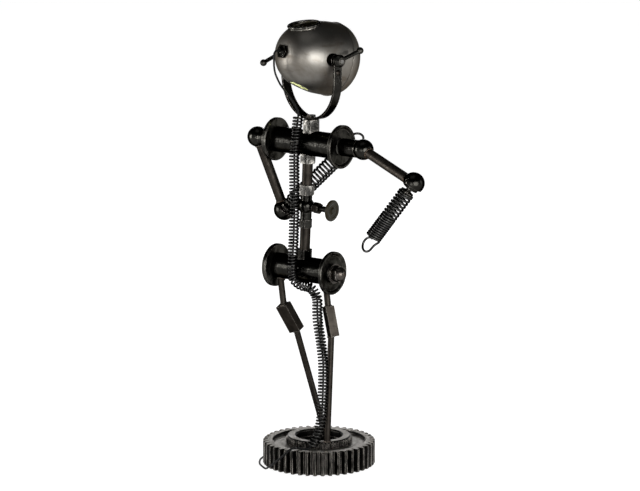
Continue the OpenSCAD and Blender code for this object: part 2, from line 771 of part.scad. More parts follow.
// Lever angle is measured upwards from the rear, on the given side
module lever(side, angle) {
  x0 = (yoke_w + strap_t) / 2 + body_gap;
  color([0.12, 0.12, 0.12]) at_pivot() translate([side * x0, 0, 0]) difference() {
    union() {
      rotate([0, side * 90, 0]) rotate_extrude()
        polygon([[0, 0], [lever_hub_d / 2, 0], [lever_hub_d / 2, lever_hub_len * 0.5],
          [lever_hub_d / 2 - 5, lever_hub_len], [0, lever_hub_len]]);
      translate([side * lever_hub_len / 3, 0, 0]) rotate([angle - 90, 0, 0]) {
        cylinder(d = lever_rod_d, h = lever_len);
        translate([0, 0, lever_len]) sphere(d = lever_ball_d);
      }
    }
    rotate([0, 90, 0]) cylinder(d = rod_d + 2 * run_gap, h = 4 * lever_hub_len, center = true);
  }
}
module left_lever() {
  lever(-1, left_lever_angle);
}
module right_lever() {
  lever(1, right_lever_angle);
}

// Head, drawn round the pivot with +Z forward along its axis after in_head() lays it over
module in_head() {
  at_pivot() rotate([head_tilt, 0, 0]) rotate([90, 0, 0]) children();
}
function bowl(depth, full, grow) =
  [for (i = [0 : bowl_steps]) let (a = 90 * i / bowl_steps)
    [(head_r + grow) * pow(cos(a), 2 / full), (depth + grow) * pow(sin(a), 2 / full)]];
module head_solid(grow) {
  translate([0, 0, -seam_back]) {
    rotate_extrude($fn = 96) polygon(concat([[0, 0]], bowl(front_depth, front_full, grow)));
    mirror([0, 0, 1]) rotate_extrude($fn = 96) polygon(concat([[0, 0]], bowl(rear_depth, rear_full, grow)));
  }
}
// A bowl-shaped shell from its rim on z = 0 to its pole on +Z
module bowl_shell(depth, full) {
  inner = bowl(depth, full, -head_wall);
  rotate_extrude($fn = 96)
    polygon(concat(bowl(depth, full, 0), [for (i = [bowl_steps : -1 : 0]) inner[i]]));
}
// Children's +Z points out of the light mouth, with the pivot at their origin
module to_mouth() {
  at_pivot() rotate([90 + mouth_dip, 0, 0]) children();
}
module to_collar() {
  at_pivot() translate([0, -collar_fore, 0]) rotate([collar_lean, 0, 0]) children();
}
module head_front() {
  color([0.5, 0.48, 0.45]) difference() {
    in_head() translate([0, 0, -seam_back]) bowl_shell(front_depth, front_full);
    to_mouth() translate([0, 0, mouth_out]) cylinder(d = 90, h = 40);
    to_collar() cylinder(d = collar_d - 2 * collar_wall, h = collar_top + 10);
    at_pivot() rotate([0, 90, 0]) cylinder(d = rod_d + 2 * seat_gap, h = 2 * head_d, center = true);
    in_head() cylinder(d = cord_d + 4, h = front_pole + 10);
  }
}
module head_rear() {
  color([0.47, 0.45, 0.43]) in_head() translate([0, 0, -seam_back]) mirror([0, 0, 1])
    bowl_shell(rear_depth, rear_full);
}
module head_collar() {
  lip = 3;
  color([0.5, 0.48, 0.45]) difference() {
    to_collar() {
      difference() {
        cylinder(d = collar_d, h = collar_top - lip);
        translate([0, 0, -cut]) cylinder(d = collar_d - 2 * collar_wall, h = collar_top + 2 * cut);
      }
      translate([0, 0, collar_top - lip]) rotate_extrude()
        translate([collar_d / 2 - collar_wall / 2, 0]) circle(r = lip);
    }
    in_head() head_solid(seat_gap);
  }
}
module lamp_holder() {
  color([0.85, 0.83, 0.78]) difference() {
    union() {
      to_mouth() translate([0, 0, holder_from]) cylinder(d = holder_d, h = holder_to - holder_from);
      at_pivot() rotate([0, 90, 0]) cylinder(d = rod_d + 10, h = 24, center = true);
    }
    at_pivot() rotate([0, 90, 0]) cylinder(d = rod_d + 2 * seat_gap, h = 60, center = true);
  }
}
module bulb() {
  neck_d = holder_d - 8;
  color([1, 0.95, 0.7]) to_mouth() {
    translate([0, 0, holder_to]) cylinder(d = neck_d, h = bulb_neck + bulb_d / 2);
    translate([0, 0, holder_to + bulb_neck + bulb_d / 2]) sphere(d = bulb_d);
  }
}
module cable_gland() {
  hex_top = gland_out - gland_cone_h;
  color([0.14, 0.13, 0.12]) in_head() difference() {
    union() {
      translate([0, 0, front_pole - gland_sunk]) hex(gland_af, gland_sunk + hex_top);
      translate([0, 0, front_pole + hex_top])
        cylinder(d1 = gland_af - 6, d2 = cord_d + 5, h = gland_cone_h);
    }
    head_solid(seat_gap);
    translate([0, 0, front_pole - gland_sunk]) cylinder(d = cord_d + 2 * seat_gap, h = gland_sunk + hex_top);
  }
}

// Cable: lead from the head, cable down the spine inside its spring, then the mains cord, coil and plug
head_fwd = [sin(yoke_turn) * cos(head_tilt), -cos(yoke_turn) * cos(head_tilt), -sin(head_tilt)];
spine_y = hip_c[1] - barrel_d / 2 - spine_spring_od / 2 - rest_gap;
lead_exit = pivot_c + (front_pole + gland_out) * head_fwd;
lead_upper_route = [
  lead_exit, lead_exit + cord_d * head_fwd, [-28.5, -104, 863.5], [-28.5, -108, 861.5], [-28.5, -110.5, 857],
  [-28.5, -111, 847], [-28.5, -110.5, 833], [-27.5, -108.5, 820], [-25, -104.5, 808], [-22, -99, 796]];
lead_lower_route = [
  [-22, -99, 796], [-19, -91, 785], [-16, -83, 775], [-14, -76, 766],
  [-12, -69, 757], [-10, -63, 747], [-9, spine_y - 1, 738], [-9, spine_y, 728]];
spine_route = [
  [-9, spine_y, 728], [-13, spine_y, 700], [-17, spine_y, 672], [-19, spine_y, 644], [-19, spine_y, 616],
  [-19, spine_y, 588], [-19, spine_y, 560], [-19, spine_y, 532], [-20, spine_y, 504], [-21, spine_y, 476],
  [-23, spine_y, 448], [-25, spine_y, 421], [-22, spine_y, 396], [-5, -56, 383], [19, -53, 379],
  [33, -51, 360], [34, -51, 334], [36, -51, 308], [42, -52, 282], [48, -54, 256], [52, -55, 229],
  [53, -56, 201], [53, -57, 173], [53, -59, 145], [53, -62, 117],
  [50, -66, 91], [45, -71, 72], [38, -74, 58]];
cord_route = [
  [38, -74, 58], [34, -77, 53], [29, -81, 51], [24, -86, 51], [20, -92, 53.5], [17, -98, 54],
  [15, -104, 55], [12, -113, 54], [8, -120, 48], [0, -123, 40], [-11, -122, 31], [-22, -120, 23],
  [-33, -117, 15], [-44, -113, 8], [-55, -108, 2.5], [-66, -102, 2.5], [-76, -95, 2.5],
  [-86, -87, 2.5], [-95, -77, 2.5], [-103, -66, 2.5], [-110, -54, 2.5], [-115, -41, 2.5],
  [-119, -28, 2.5], [-121, -14, 2.5],
  [-122, 0, 2.5], [-122, 14, 2.5], [-123, 28, 2.5], [-126, 42, 2.5], [-131, 55, 2.5], [-136, 68, 2.5],
  [-140, 81, 3], [-141, 94, 3], [-142, 108, 3], [-146, 119, 3]];
cord_sides = 8;
cable_gap = 0.4;
plug_gap = 0.2;
coil_mid_r = 25;
coil_gap = 1.2;
coil_step = cord_d + coil_gap;
coil_loop_rings = 18;
coil_from = 200;
coil_outer = coil_mid_r + coil_step * coil_turns / 2;
coil_inner = coil_outer - coil_step * coil_turns;
coil_c = cord_route[len(cord_route) - 1] - coil_outer * [cos(coil_from), sin(coil_from), 0];
coil_out = [sin(coil_from), -cos(coil_from), 0];
coil_end = coil_c + (coil_outer - coil_step / 2) * [cos(coil_from), sin(coil_from), 0] + [0, 0, coil_step];
plug_run = 16;
plug_drop = coil_step / 4;
plug_c = coil_end + plug_run * coil_out - [0, 0, plug_drop];
tie_gap = 0.15;
spine_r = (spine_spring_od - spine_wire) / 2;
spine_line = route_helix(spine_route, spine_r, spine_curls, curl_rings, [0, 1, 0]);
// Two flat spirals, in on the floor layer and out again on the upper one, then a straight run to the plug
function coil_line() =
  let (n = coil_turns * coil_loop_rings)
  concat(
    [for (i = [0 : n]) let (a = coil_from - 360 * i / coil_loop_rings,
        r = coil_outer - coil_step * i / coil_loop_rings)
      coil_c + [r * cos(a), r * sin(a), 0]],
    [for (i = [1 : n]) let (a = coil_from - 360 * i / coil_loop_rings,
        r = coil_inner + coil_step * max(0, i / coil_loop_rings - 0.5),
        rise = min(1, 2 * i / coil_loop_rings))
      coil_c + [r * cos(a), r * sin(a), coil_step * rise]],
    [for (k = [1 : 3]) coil_end + (plug_c - coil_end) * k / 3]);
stored_line = coil_line();
// A route drawn back a little at its ends, where the next length of cable begins
function drawn_back(route, start, end) =
  let (n = len(route) - 1)
  [for (i = [0 : n]) route[i]
    + (i == 0 ? start * unit(route[1] - route[0]) : [0, 0, 0])
    - (i == n ? end * unit(route[n] - route[n - 1]) : [0, 0, 0])];
module cable_tube(route, start, end) {
  color([0.06, 0.06, 0.06]) tube(drawn_back(route, start, end), cord_d / 2, cord_sides);
}
module lead_upper() {
  cable_tube(lead_upper_route, 0, cable_gap);
}
module lead_lower() {
  cable_tube(lead_lower_route, cable_gap, cable_gap);
}
module spine_spring() {
  color([0.12, 0.12, 0.12]) tube(spine_line, spine_wire / 2, wire_sides);
}
module spine_cable() {
  cable_tube(spine_route, cable_gap, cable_gap);
}
module mains_cord() {
  cable_tube(cord_route, cable_gap, cable_gap);
}
module cord_coil() {
  color([0.06, 0.06, 0.06]) tube(drawn_back(stored_line, cable_gap, plug_gap), cord_d / 2, wire_sides);
}
// A strap round the coil's bundle of turns
module coil_tie() {
  tie_w = 8;
  tie_t = 0.8;
  bow = tie_w * tie_w / 8 / (coil_inner - cord_d / 2);
  r0 = coil_inner - cord_d / 2 - bow - tie_gap;
  r1 = coil_outer + cord_d / 2 + tie_gap;
  z0 = coil_c[2] - cord_d / 2 - tie_gap;
  z1 = coil_c[2] + coil_step + cord_d / 2 + tie_gap;
  color([0.1, 0.1, 0.1]) translate([coil_c[0], coil_c[1], 0]) rotate([0, 0, coil_from + 150]) difference() {
    translate([r0 - tie_t, -tie_w / 2, z0 - tie_t]) cube([r1 - r0 + 2 * tie_t, tie_w, z1 - z0 + 2 * tie_t]);
    translate([r0, -tie_w, z0]) cube([r1 - r0, 2 * tie_w, z1 - z0]);
  }
}
// A flat two-pin plug lying on the floor, with its sleeve on the cord
module plug() {
  body_len = 32;
  half_w = 17;
  half_t = 6.75;
  bevel = 0.35;
  sleeve_len = 20;
  pin_d = 4;
  pin_len = 19;
  pin_gap = 18.6;
  color([0.08, 0.08, 0.08]) along(plug_c, plug_c + coil_out) {
    cylinder(d1 = cord_d + 2, d2 = cord_d + 5, h = sleeve_len);
    translate([0, 0, sleeve_len]) linear_extrude(body_len) polygon([
      [-half_t, -bevel * half_w], [-bevel * half_t, -half_w], [bevel * half_t, -half_w],
      [half_t, -bevel * half_w], [half_t, bevel * half_w], [bevel * half_t, half_w],
      [-bevel * half_t, half_w], [-half_t, bevel * half_w]]);
    for (side = [-1, 1])
      translate([0, side * pin_gap / 2, sleeve_len + body_len]) cylinder(d = pin_d, h = pin_len);
  }
}

echo(spine_spring_gap = least_gap(spine_line, spine_wire, curl_rings));
echo(left_forearm_gap = least_gap(left_forearm_line, forearm_wire, curl_rings));
echo(right_forearm_gap = least_gap(right_forearm_line, forearm_wire, curl_rings));
echo(stored_cord_gap = least_gap(stored_line, cord_d, coil_loop_rings));

base_felt();
base_gear();
hub_ring();
left_thigh();
left_knee();
left_shin();
right_thigh();
right_knee();
right_shin();
hip_barrel();
hip_flange_left();
hip_flange_right();
hip_bearings();
hip_axle();
hip_cap_nuts();
hip_collar();
lower_pipe();
tap_body();
tap_gland_nut();
tap_knob();
tap_top_nut();
upper_pipe();
shoulder_nut();
shoulder_barrel();
shoulder_flange_left();
shoulder_flange_right();
shoulder_axle();
shoulder_bushes();
neck_nut();
left_ball_stub();
left_arm_tube();
left_elbow();
left_elbow_stud();
left_forearm_spring();
right_ball_stub();
right_arm_tube();
right_elbow();
right_elbow_stud();
right_forearm_spring();
yoke();
yoke_bolt();
yoke_rivets();
pivot_rod();
pivot_spacers();
left_lever();
right_lever();
head_front();
head_rear();
head_collar();
lamp_holder();
bulb();
cable_gland();
lead_upper();
lead_lower();
spine_spring();
spine_cable();
mains_cord();
cord_coil();
coil_tie();
plug();
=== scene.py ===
"""Dresses a figure-shaped floor lamp made of machine parts.

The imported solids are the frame. This file gives them their metal finishes, winds the springs and
cords in full, runs the weld beads, lights the lamp and sets the stage.
"""
import json
import math

import bpy
import numpy as np
from mathutils import Matrix, Vector


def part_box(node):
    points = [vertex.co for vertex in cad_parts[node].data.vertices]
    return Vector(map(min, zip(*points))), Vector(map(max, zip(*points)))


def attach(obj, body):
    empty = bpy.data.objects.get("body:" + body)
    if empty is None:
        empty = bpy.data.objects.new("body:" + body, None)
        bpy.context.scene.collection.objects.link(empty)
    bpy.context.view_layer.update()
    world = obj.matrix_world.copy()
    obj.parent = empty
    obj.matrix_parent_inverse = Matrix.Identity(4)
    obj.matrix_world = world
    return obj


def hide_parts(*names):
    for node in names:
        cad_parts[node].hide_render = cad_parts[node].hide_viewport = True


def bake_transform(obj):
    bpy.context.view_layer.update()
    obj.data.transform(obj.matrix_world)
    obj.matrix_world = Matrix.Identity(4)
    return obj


bl_info = {
    "name": "Robot floor lamp",
    "version": (1, 0, 0),
    "blender": (4, 5, 0),
    "location": "View3D > Sidebar > Lamp",
    "description": "Finishes, springs, cords, welds and light for a lamp built of machine parts",
    "category": "Object",
}

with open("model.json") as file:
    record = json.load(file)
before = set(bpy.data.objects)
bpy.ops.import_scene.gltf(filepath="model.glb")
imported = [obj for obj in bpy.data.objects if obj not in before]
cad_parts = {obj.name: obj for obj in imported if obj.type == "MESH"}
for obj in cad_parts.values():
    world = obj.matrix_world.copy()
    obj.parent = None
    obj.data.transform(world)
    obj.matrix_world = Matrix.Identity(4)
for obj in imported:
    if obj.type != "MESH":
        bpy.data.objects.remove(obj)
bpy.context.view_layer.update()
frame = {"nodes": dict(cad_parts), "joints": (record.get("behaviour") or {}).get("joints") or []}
JOINTS = {j["name"]: j for j in frame["joints"]}
MM = 0.001

# Routes in millimetres, as the solids have them
SPINE_Y = -57.25
LEAD_UPPER = [
    (-28.5, -104, 863.5), (-28.5, -108, 861.5), (-28.5, -110.5, 857), (-28.5, -111, 847),
    (-28.5, -110.5, 833), (-27.5, -108.5, 820), (-25, -104.5, 808), (-22, -99, 796)]
LEAD_LOWER = [
    (-22, -99, 796), (-19, -91, 785), (-16, -83, 775), (-14, -76, 766),
    (-12, -69, 757), (-10, -63, 747), (-9, SPINE_Y - 1, 738), (-9, SPINE_Y, 728)]
SPINE = [
    (-9, SPINE_Y, 728), (-13, SPINE_Y, 700), (-17, SPINE_Y, 672), (-19, SPINE_Y, 644), (-19, SPINE_Y, 616),
    (-19, SPINE_Y, 588), (-19, SPINE_Y, 560), (-19, SPINE_Y, 532), (-20, SPINE_Y, 504), (-21, SPINE_Y, 476),
    (-23, SPINE_Y, 448), (-25, SPINE_Y, 421), (-22, SPINE_Y, 396), (-5, -56, 383), (19, -53, 379),
    (33, -51, 360), (34, -51, 334), (36, -51, 308), (42, -52, 282), (48, -54, 256), (52, -55, 229),
    (53, -56, 201), (53, -57, 173), (53, -59, 145), (53, -62, 117), (50, -66, 91), (45, -71, 72),
    (38, -74, 58)]
MAINS = [
    (38, -74, 58), (34, -77, 53), (29, -81, 51), (24, -86, 51), (20, -92, 53.5), (17, -98, 54),
    (15, -104, 55), (12, -113, 54), (8, -120, 48), (0, -123, 40), (-11, -122, 31), (-22, -120, 23),
    (-33, -117, 15), (-44, -113, 8), (-55, -108, 2.5), (-66, -102, 2.5), (-76, -95, 2.5), (-86, -87, 2.5),
    (-95, -77, 2.5), (-103, -66, 2.5), (-110, -54, 2.5), (-115, -41, 2.5), (-119, -28, 2.5), (-121, -14, 2.5),
    (-122, 0, 2.5), (-122, 14, 2.5), (-123, 28, 2.5), (-126, 42, 2.5), (-131, 55, 2.5), (-136, 68, 2.5),
    (-140, 81, 3), (-141, 94, 3), (-142, 108, 3), (-146, 119, 3)]
COIL_TURNS = 4
COIL_MID_R = 25
COIL_STEP = 5.2
COIL_FROM = math.radians(200)
COIL_RINGS = 36
PLUG_RUN = 16

# Places and sizes of the solids that the scene's own pieces join, in millimetres
HIP = Vector((-23, -20, 408))
HIP_R = 26
LEAN = math.radians(2.5)
LEG_R = 6.5
KNEE_HALF = 31
RING_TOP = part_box("hub_ring")[1].z / MM
LEGS = {  # hip, knee top, knee foot, shin top, ground
    "left": ((-82, -26, 408), (-75, -20, 324), (-59, 0, 276), (-59, 0, 276), (-24, 48, RING_TOP)),
    "right": ((29, -20, 408), (38, -20, 338), (52, -20, 278), (46, -20, 278), (48, -36, RING_TOP)),
}
ARM_R = 10
BALL_R = 21
ELBOW_R = 22
BEND_STEPS = 8  # of the bend from a forearm spring's last curl up into its end loop
BEND_TURN = math.radians(45)
BEND_LIFT = 3.6
LOOP_STEPS = 36
LOOP_SWEEP = math.radians(270)
PIVOT = Vector(JOINTS["head_tilt"]["pos_m"]) / MM
LEFT_BALL = Vector(JOINTS["left_shoulder"]["pos_m"]) / MM
RIGHT_BALL = Vector(JOINTS["right_shoulder"]["pos_m"]) / MM
LEFT_ELBOW = Vector(JOINTS["left_elbow"]["pos_m"]) / MM
RIGHT_ELBOW = Vector(JOINTS["right_elbow"]["pos_m"]) / MM
LEFT_HAND = LEFT_ELBOW + Vector((144, 33, 145))
RIGHT_HAND = RIGHT_ELBOW + Vector((-72, -36, -112))
TAP = Vector(JOINTS["knob_turn"]["pos_m"]) / MM
STEM_AXIS = Vector((math.cos(LEAN), 0, -math.sin(LEAN)))
KNOB_REACH = 70
KNOB_T = 9
YOKE_TURN = math.radians(-16)
HEAD_TILT = math.radians(-12)
MOUTH_DIP = math.radians(62)
FRONT_DEPTH = 122
FRONT_FULL = 2.6
BOWL_WALL = 2.4
GLAND_OUT = 9
SEAM_BEAD_R = 1.0
SEAM_PROUD = 0.3
MOUTH_EDGE = math.radians(19.5)
LINING_STEP = math.radians(3.2)
HEAD_FORWARD = Vector((
    math.sin(YOKE_TURN) * math.cos(HEAD_TILT),
    -math.cos(YOKE_TURN) * math.cos(HEAD_TILT),
    -math.sin(HEAD_TILT)))
MOUTH_OUT = Vector((
    math.sin(YOKE_TURN) * math.cos(MOUTH_DIP),
    -math.cos(YOKE_TURN) * math.cos(MOUTH_DIP),
    -math.sin(MOUTH_DIP)))

# Stage, in metres and watts
CAMERA_PLACE = (4.0743, -5.4068, 1.8)
CAMERA_TURN = (math.radians(78.771), 0, math.radians(37))
SOFT_LIGHT = 0.25
ROOM_TONES = ((0.10, 1.0), (0.55, 0.03))  # height on the unit sphere and brightness in mirrors
ROOM_BACK = (-0.6, 0.8, 0)
ROOM_SWEEP = (0.5, 0.95)
ROOM_FRONT = 0.6
FLOOR_REACH = 8.0
FLOOR_DROP = -0.0006
FLOOR_LIFT = 0.92
LIGHTS = (  # name, place, aim, size, power
    ("key_light", (2.85, -1.65, 0.85), (0, 0, 0.7), (2.3, 1.8), 112),
    ("left_light", (-2.45, -2.2, 0.7), (0, 0, 0.65), (0.9, 1.3), 64),
    ("front_light", (0.9, -3.3, 0.6), (0, 0, 0.8), (0.9, 0.9), 20),
    ("right_light", (3.0, 1.5, 1.0), (0, 0, 0.6), (0.25, 1.6), 11),
    ("top_light", (0.2, -0.6, 3.0), (0, 0, 0.5), (1.6, 1.6), 3),
    ("back_light", (-1.9, 2.5, 0.95), (0, 0, 0.05), (1.8, 0.7), 20),
)


class LampSizes(bpy.types.PropertyGroup):
    """Sizes of the pieces that the scene makes, and the camera's lens"""

    spine_coils: bpy.props.IntProperty(
        name="Spine coils", description="Turns in the spring round the cable", default=108, min=30, max=120)
    spine_outer: bpy.props.FloatProperty(
        name="Spine spring", description="Outer diameter of the spring round the cable",
        default=0.022, unit="LENGTH")
    spine_wire: bpy.props.FloatProperty(
        name="Spine wire", description="Wire of the spring round the cable", default=0.0041, unit="LENGTH")
    forearm_outer: bpy.props.FloatProperty(
        name="Forearm spring", description="Outer diameter of a forearm spring", default=0.034, unit="LENGTH")
    forearm_wire: bpy.props.FloatProperty(
        name="Forearm wire", description="Wire of a forearm spring", default=0.0047, unit="LENGTH")
    spring_start: bpy.props.FloatProperty(
        name="Spring seat", description="Distance of a forearm spring's seat from its elbow",
        default=0.025, unit="LENGTH")
    cord: bpy.props.FloatProperty(
        name="Cord", description="Diameter of the lamp's cable", default=0.004, unit="LENGTH")
    bead: bpy.props.FloatProperty(
        name="Weld bead", description="Half the height of a weld bead", default=0.0017, unit="LENGTH")
    head: bpy.props.FloatProperty(
        name="Head", description="Diameter of the head at its seam", default=0.148, unit="LENGTH")
    seam_back: bpy.props.FloatProperty(
        name="Seam", description="Distance of the head's seam behind the pivot", default=0.050, unit="LENGTH")
    lens: bpy.props.FloatProperty(
        name="Lens", description="Focal length of the camera", default=191.25, unit="CAMERA")


def colour(label, words, value):
    """A colour that the panel shows."""
    return bpy.props.FloatVectorProperty(
        name=label, description=words, subtype="COLOR", size=3, min=0, max=1, default=value)


class LampColours(bpy.types.PropertyGroup):
    """Colours of the finishes, linear"""

    iron: colour("Oiled iron", "Barrels, flanges, balls, levers and yoke", (0.014, 0.0135, 0.012))
    steel: colour("Dark steel", "Rods, pipes and arms", (0.024, 0.0207, 0.0175))
    gear: colour("Gear iron", "Base gear and its ring", (0.0165, 0.0157, 0.0145))
    worn: colour("Worn metal", "Bright metal at rubbed edges", (0.40, 0.37, 0.33))
    rust: colour("Rust", "Brown tint of the weld beads", (0.070, 0.040, 0.022))
    spring: colour("Spring steel", "Blackened spring wire", (0.026, 0.0255, 0.0243))
    head: colour("Head steel", "Spun shell of the head", (0.165, 0.157, 0.142))
    patina: colour("Patina", "Brown bloom on the head", (0.078, 0.060, 0.043))
    knob: colour("Knob", "Olive-brown paint of the knob", (0.021, 0.0178, 0.0085))
    rubber: colour("Rubber", "Cable and plug", (0.0035, 0.0035, 0.0035))
    glow: colour("Glow", "Light in the head's mouth", (0.95, 1.0, 0.5))
    felt: colour("Felt", "Pad under the base", (0.010, 0.010, 0.010))


def sizes():
    return bpy.context.scene.lamp_sizes


def colours():
    return bpy.context.scene.lamp_colours


# Curves and tubes

def smooth_line(points, spacing):
    """Points of a smooth curve through the given ones, evenly spaced along its length."""
    p = np.array(points, float)
    p = np.vstack([2 * p[0] - p[1], p, 2 * p[-1] - p[-2]])
    t = np.linspace(0, 1, 24, endpoint=False)[:, None]
    fine = []
    for i in range(1, len(p) - 2):
        a, b, c, d = p[i - 1:i + 3]
        fine.append(b + 0.5 * t * (c - a + t * (2 * a - 5 * b + 4 * c - d + t * (3 * (b - c) + d - a))))
    fine = np.vstack(fine + [p[-2:-1]])
    return spaced(fine, spacing)


def spaced(line, spacing):
    """The line again, with its points evenly spaced."""
    run = np.concatenate([[0], np.cumsum(np.linalg.norm(np.diff(line, axis=0), axis=1))])
    at = np.linspace(0, run[-1], max(2, round(run[-1] / spacing) + 1))
    return np.stack([np.interp(at, run, line[:, k]) for k in range(3)], axis=1)


def carried_sides(line, start=(0.0, 0.0, 1.0)):
    """The line's direction at each point, a side square to it carried without twist, and their partner."""
    run = np.gradient(line, axis=0)
    run /= np.linalg.norm(run, axis=1)[:, None]
    side = np.array(start, float)
    if abs(side @ run[0]) > 0.9:
        side = np.array((1.0, 0.0, 0.0))
    sides = []
    for t in run:
        side = side - (side @ t) * t
        side /= np.linalg.norm(side)
        sides.append(side)
    sides = np.array(sides)
    return run, sides, np.cross(run, sides)


def tube(name, line, radius, ring=10, closed=False):
    """A round tube along a line in millimetres. The radius may change from point to point."""
    line = np.asarray(line, float)
    n = len(line)
    radius = np.broadcast_to(np.asarray(radius, float), (n,))
    if closed:
        wide = np.vstack([line[-1:], line, line[:1]])
        u, v = closing_sides(line, carried_sides(wide)[0][1:-1])
    else:
        _, u, v = carried_sides(line)
    a = np.linspace(0, 2 * math.pi, ring, endpoint=False)
    out = np.cos(a)[None, :, None] * u[:, None] + np.sin(a)[None, :, None] * v[:, None]
    points = (line[:, None] + radius[:, None, None] * out).reshape(-1, 3) * MM
    faces = []
    for i in range(n if closed else n - 1):
        j = (i + 1) % n
        for k in range(ring):
            m = (k + 1) % ring
            faces.append((i * ring + k, i * ring + m, j * ring + m, j * ring + k))
    if not closed:
        faces.append(tuple(reversed(range(ring))))
        faces.append(tuple(range((n - 1) * ring, n * ring)))
    return mesh_piece(name, points, faces)


def closing_sides(line, run):
    """Sides for a closed ring: out from its middle, so that the last section meets the first."""
    middle = line.mean(axis=0)
    out = line - middle
    out -= (out * run).sum(1)[:, None] * run
    out /= np.linalg.norm(out, axis=1)[:, None]
    return out, np.cross(run, out)


def mesh_piece(name, points, faces, smooth=True):
    """A new mesh object from points in metres."""
    mesh = bpy.data.meshes.new(name)
    mesh.from_pydata([tuple(p) for p in points], [], faces)
    mesh.validate()
    if smooth:
        mesh.polygons.foreach_set("use_smooth", [True] * len(mesh.polygons))
    mesh.update()
    piece = bpy.data.objects.new(name, mesh)
    bpy.context.collection.objects.link(piece)
    return piece


def cord_curve(name, line, diameter):
    """An open curve with a round section along a line in millimetres."""
    curve = bpy.data.curves.new(name, "CURVE")
    curve.dimensions = "3D"
    curve.bevel_depth = diameter / 2
    curve.bevel_resolution = 4
    curve.use_fill_caps = True
    spline = curve.splines.new("POLY")
    spline.points.add(len(line) - 1)
    for point, p in zip(spline.points, np.asarray(line) * MM):
        point.co = (*p, 1)
    spline.use_smooth = True
    piece = bpy.data.objects.new(name, curve)
    bpy.context.collection.objects.link(piece)
    return piece


def length_of(line):
    """Length in metres of a line in millimetres."""
    return float(np.linalg.norm(np.diff(np.asarray(line), axis=0), axis=1).sum()) * MM


def axes_along(direction):
    """Two directions square to the given one, laid as the solids lay them."""
    d = Vector(direction).normalized()
    tilt = math.acos(d.z)
    turn = math.atan2(d.y, d.x)
    lay = Matrix.Rotation(turn, 3, "Z") @ Matrix.Rotation(tilt, 3, "Y")
    return lay @ Vector((1, 0, 0)), lay @ Vector((0, 1, 0)), d


# Finishes

class Finish:
    """Builds one procedural material, node by node."""

    def __init__(self, name):
        self.material = bpy.data.materials.new(name)
        self.material.use_nodes = True
        self.nodes = self.material.node_tree.nodes
        self.links = self.material.node_tree.links
        self.shader = self.nodes["Principled BSDF"]
        self.place = self.add("ShaderNodeTexCoord").outputs["Object"]

    def add(self, kind, **values):
        node = self.nodes.new(kind)
        for key, value in values.items():
            setattr(node, key, value)
        return node

    def join(self, source, socket):
        self.links.new(source, socket)

    def noise(self, scale, detail=4.0, rough=0.55, stretch=None, twist=0.0):
        """Noise in the piece's own space, stretched along its axes if asked."""
        place = self.place
        if stretch:
            mapping = self.add("ShaderNodeMapping")
            mapping.inputs["Scale"].default_value = stretch
            self.join(place, mapping.inputs["Vector"])
            place = mapping.outputs["Vector"]
        node = self.add("ShaderNodeTexNoise")
        node.inputs["Scale"].default_value = scale
        node.inputs["Detail"].default_value = detail
        node.inputs["Roughness"].default_value = rough
        node.inputs["Distortion"].default_value = twist
        self.join(place, node.inputs["Vector"])
        return node.outputs["Fac"]

    def ramp(self, source, low, high, to_low=0.0, to_high=1.0):
        """Takes values from low to high to a new span, and holds them beyond it."""
        node = self.add("ShaderNodeMapRange")
        node.inputs["From Min"].default_value = low
        node.inputs["From Max"].default_value = high
        node.inputs["To Min"].default_value = to_low
        node.inputs["To Max"].default_value = to_high
        self.join(source, node.inputs["Value"])
        return node.outputs["Result"]

    def sums(self, kind, a, b):
        node = self.add("ShaderNodeMath", operation=kind)
        for socket, value in zip(node.inputs, (a, b)):
            if isinstance(value, (int, float)):
                socket.default_value = value
            else:
                self.join(value, socket)
        return node.outputs["Value"]

    def mix(self, share, a, b):
        node = self.add("ShaderNodeMix", data_type="RGBA")
        self.join(share, node.inputs["Factor"])
        for socket, value in ((node.inputs[6], a), (node.inputs[7], b)):
            if isinstance(value, bpy.types.NodeSocket):
                self.join(value, socket)
            else:
                socket.default_value = (*value, 1)
        return node.outputs[2]

    def edges(self, radius):
        """Where the surface turns sharply, from the difference between the true and a rounded normal."""
        bevel = self.add("ShaderNodeBevel", samples=6)
        bevel.inputs["Radius"].default_value = radius
        true = self.add("ShaderNodeNewGeometry").outputs["Normal"]
        dot = self.add("ShaderNodeVectorMath", operation="DOT_PRODUCT")
        self.join(bevel.outputs["Normal"], dot.inputs[0])
        self.join(true, dot.inputs[1])
        return self.sums("SUBTRACT", 1.0, dot.outputs["Value"])

    def upward(self):
        """How far the surface looks up, in the piece's own space."""
        parts = self.add("ShaderNodeSeparateXYZ")
        self.join(self.nodes["Texture Coordinate"].outputs["Normal"], parts.inputs[0])
        return parts.outputs["Z"]

    def rounded(self, height, strength, distance, radius):
        """Bump over a normal whose sharp edges are softened."""
        bevel = self.add("ShaderNodeBevel", samples=4)
        bevel.inputs["Radius"].default_value = radius
        bump = self.add("ShaderNodeBump")
        bump.inputs["Strength"].default_value = strength
        bump.inputs["Distance"].default_value = distance
        self.join(height, bump.inputs["Height"])
        self.join(bevel.outputs["Normal"], bump.inputs["Normal"])
        self.join(bump.outputs["Normal"], self.shader.inputs["Normal"])

    def set(self, **values):
        """Sets values that are the same all over the surface."""
        for key, value in values.items():
            self.shader.inputs[key.replace("_", " ")].default_value = value


def shade(tone, share):
    """A colour made lighter or darker by a share."""
    return tuple(share * v for v in tone)


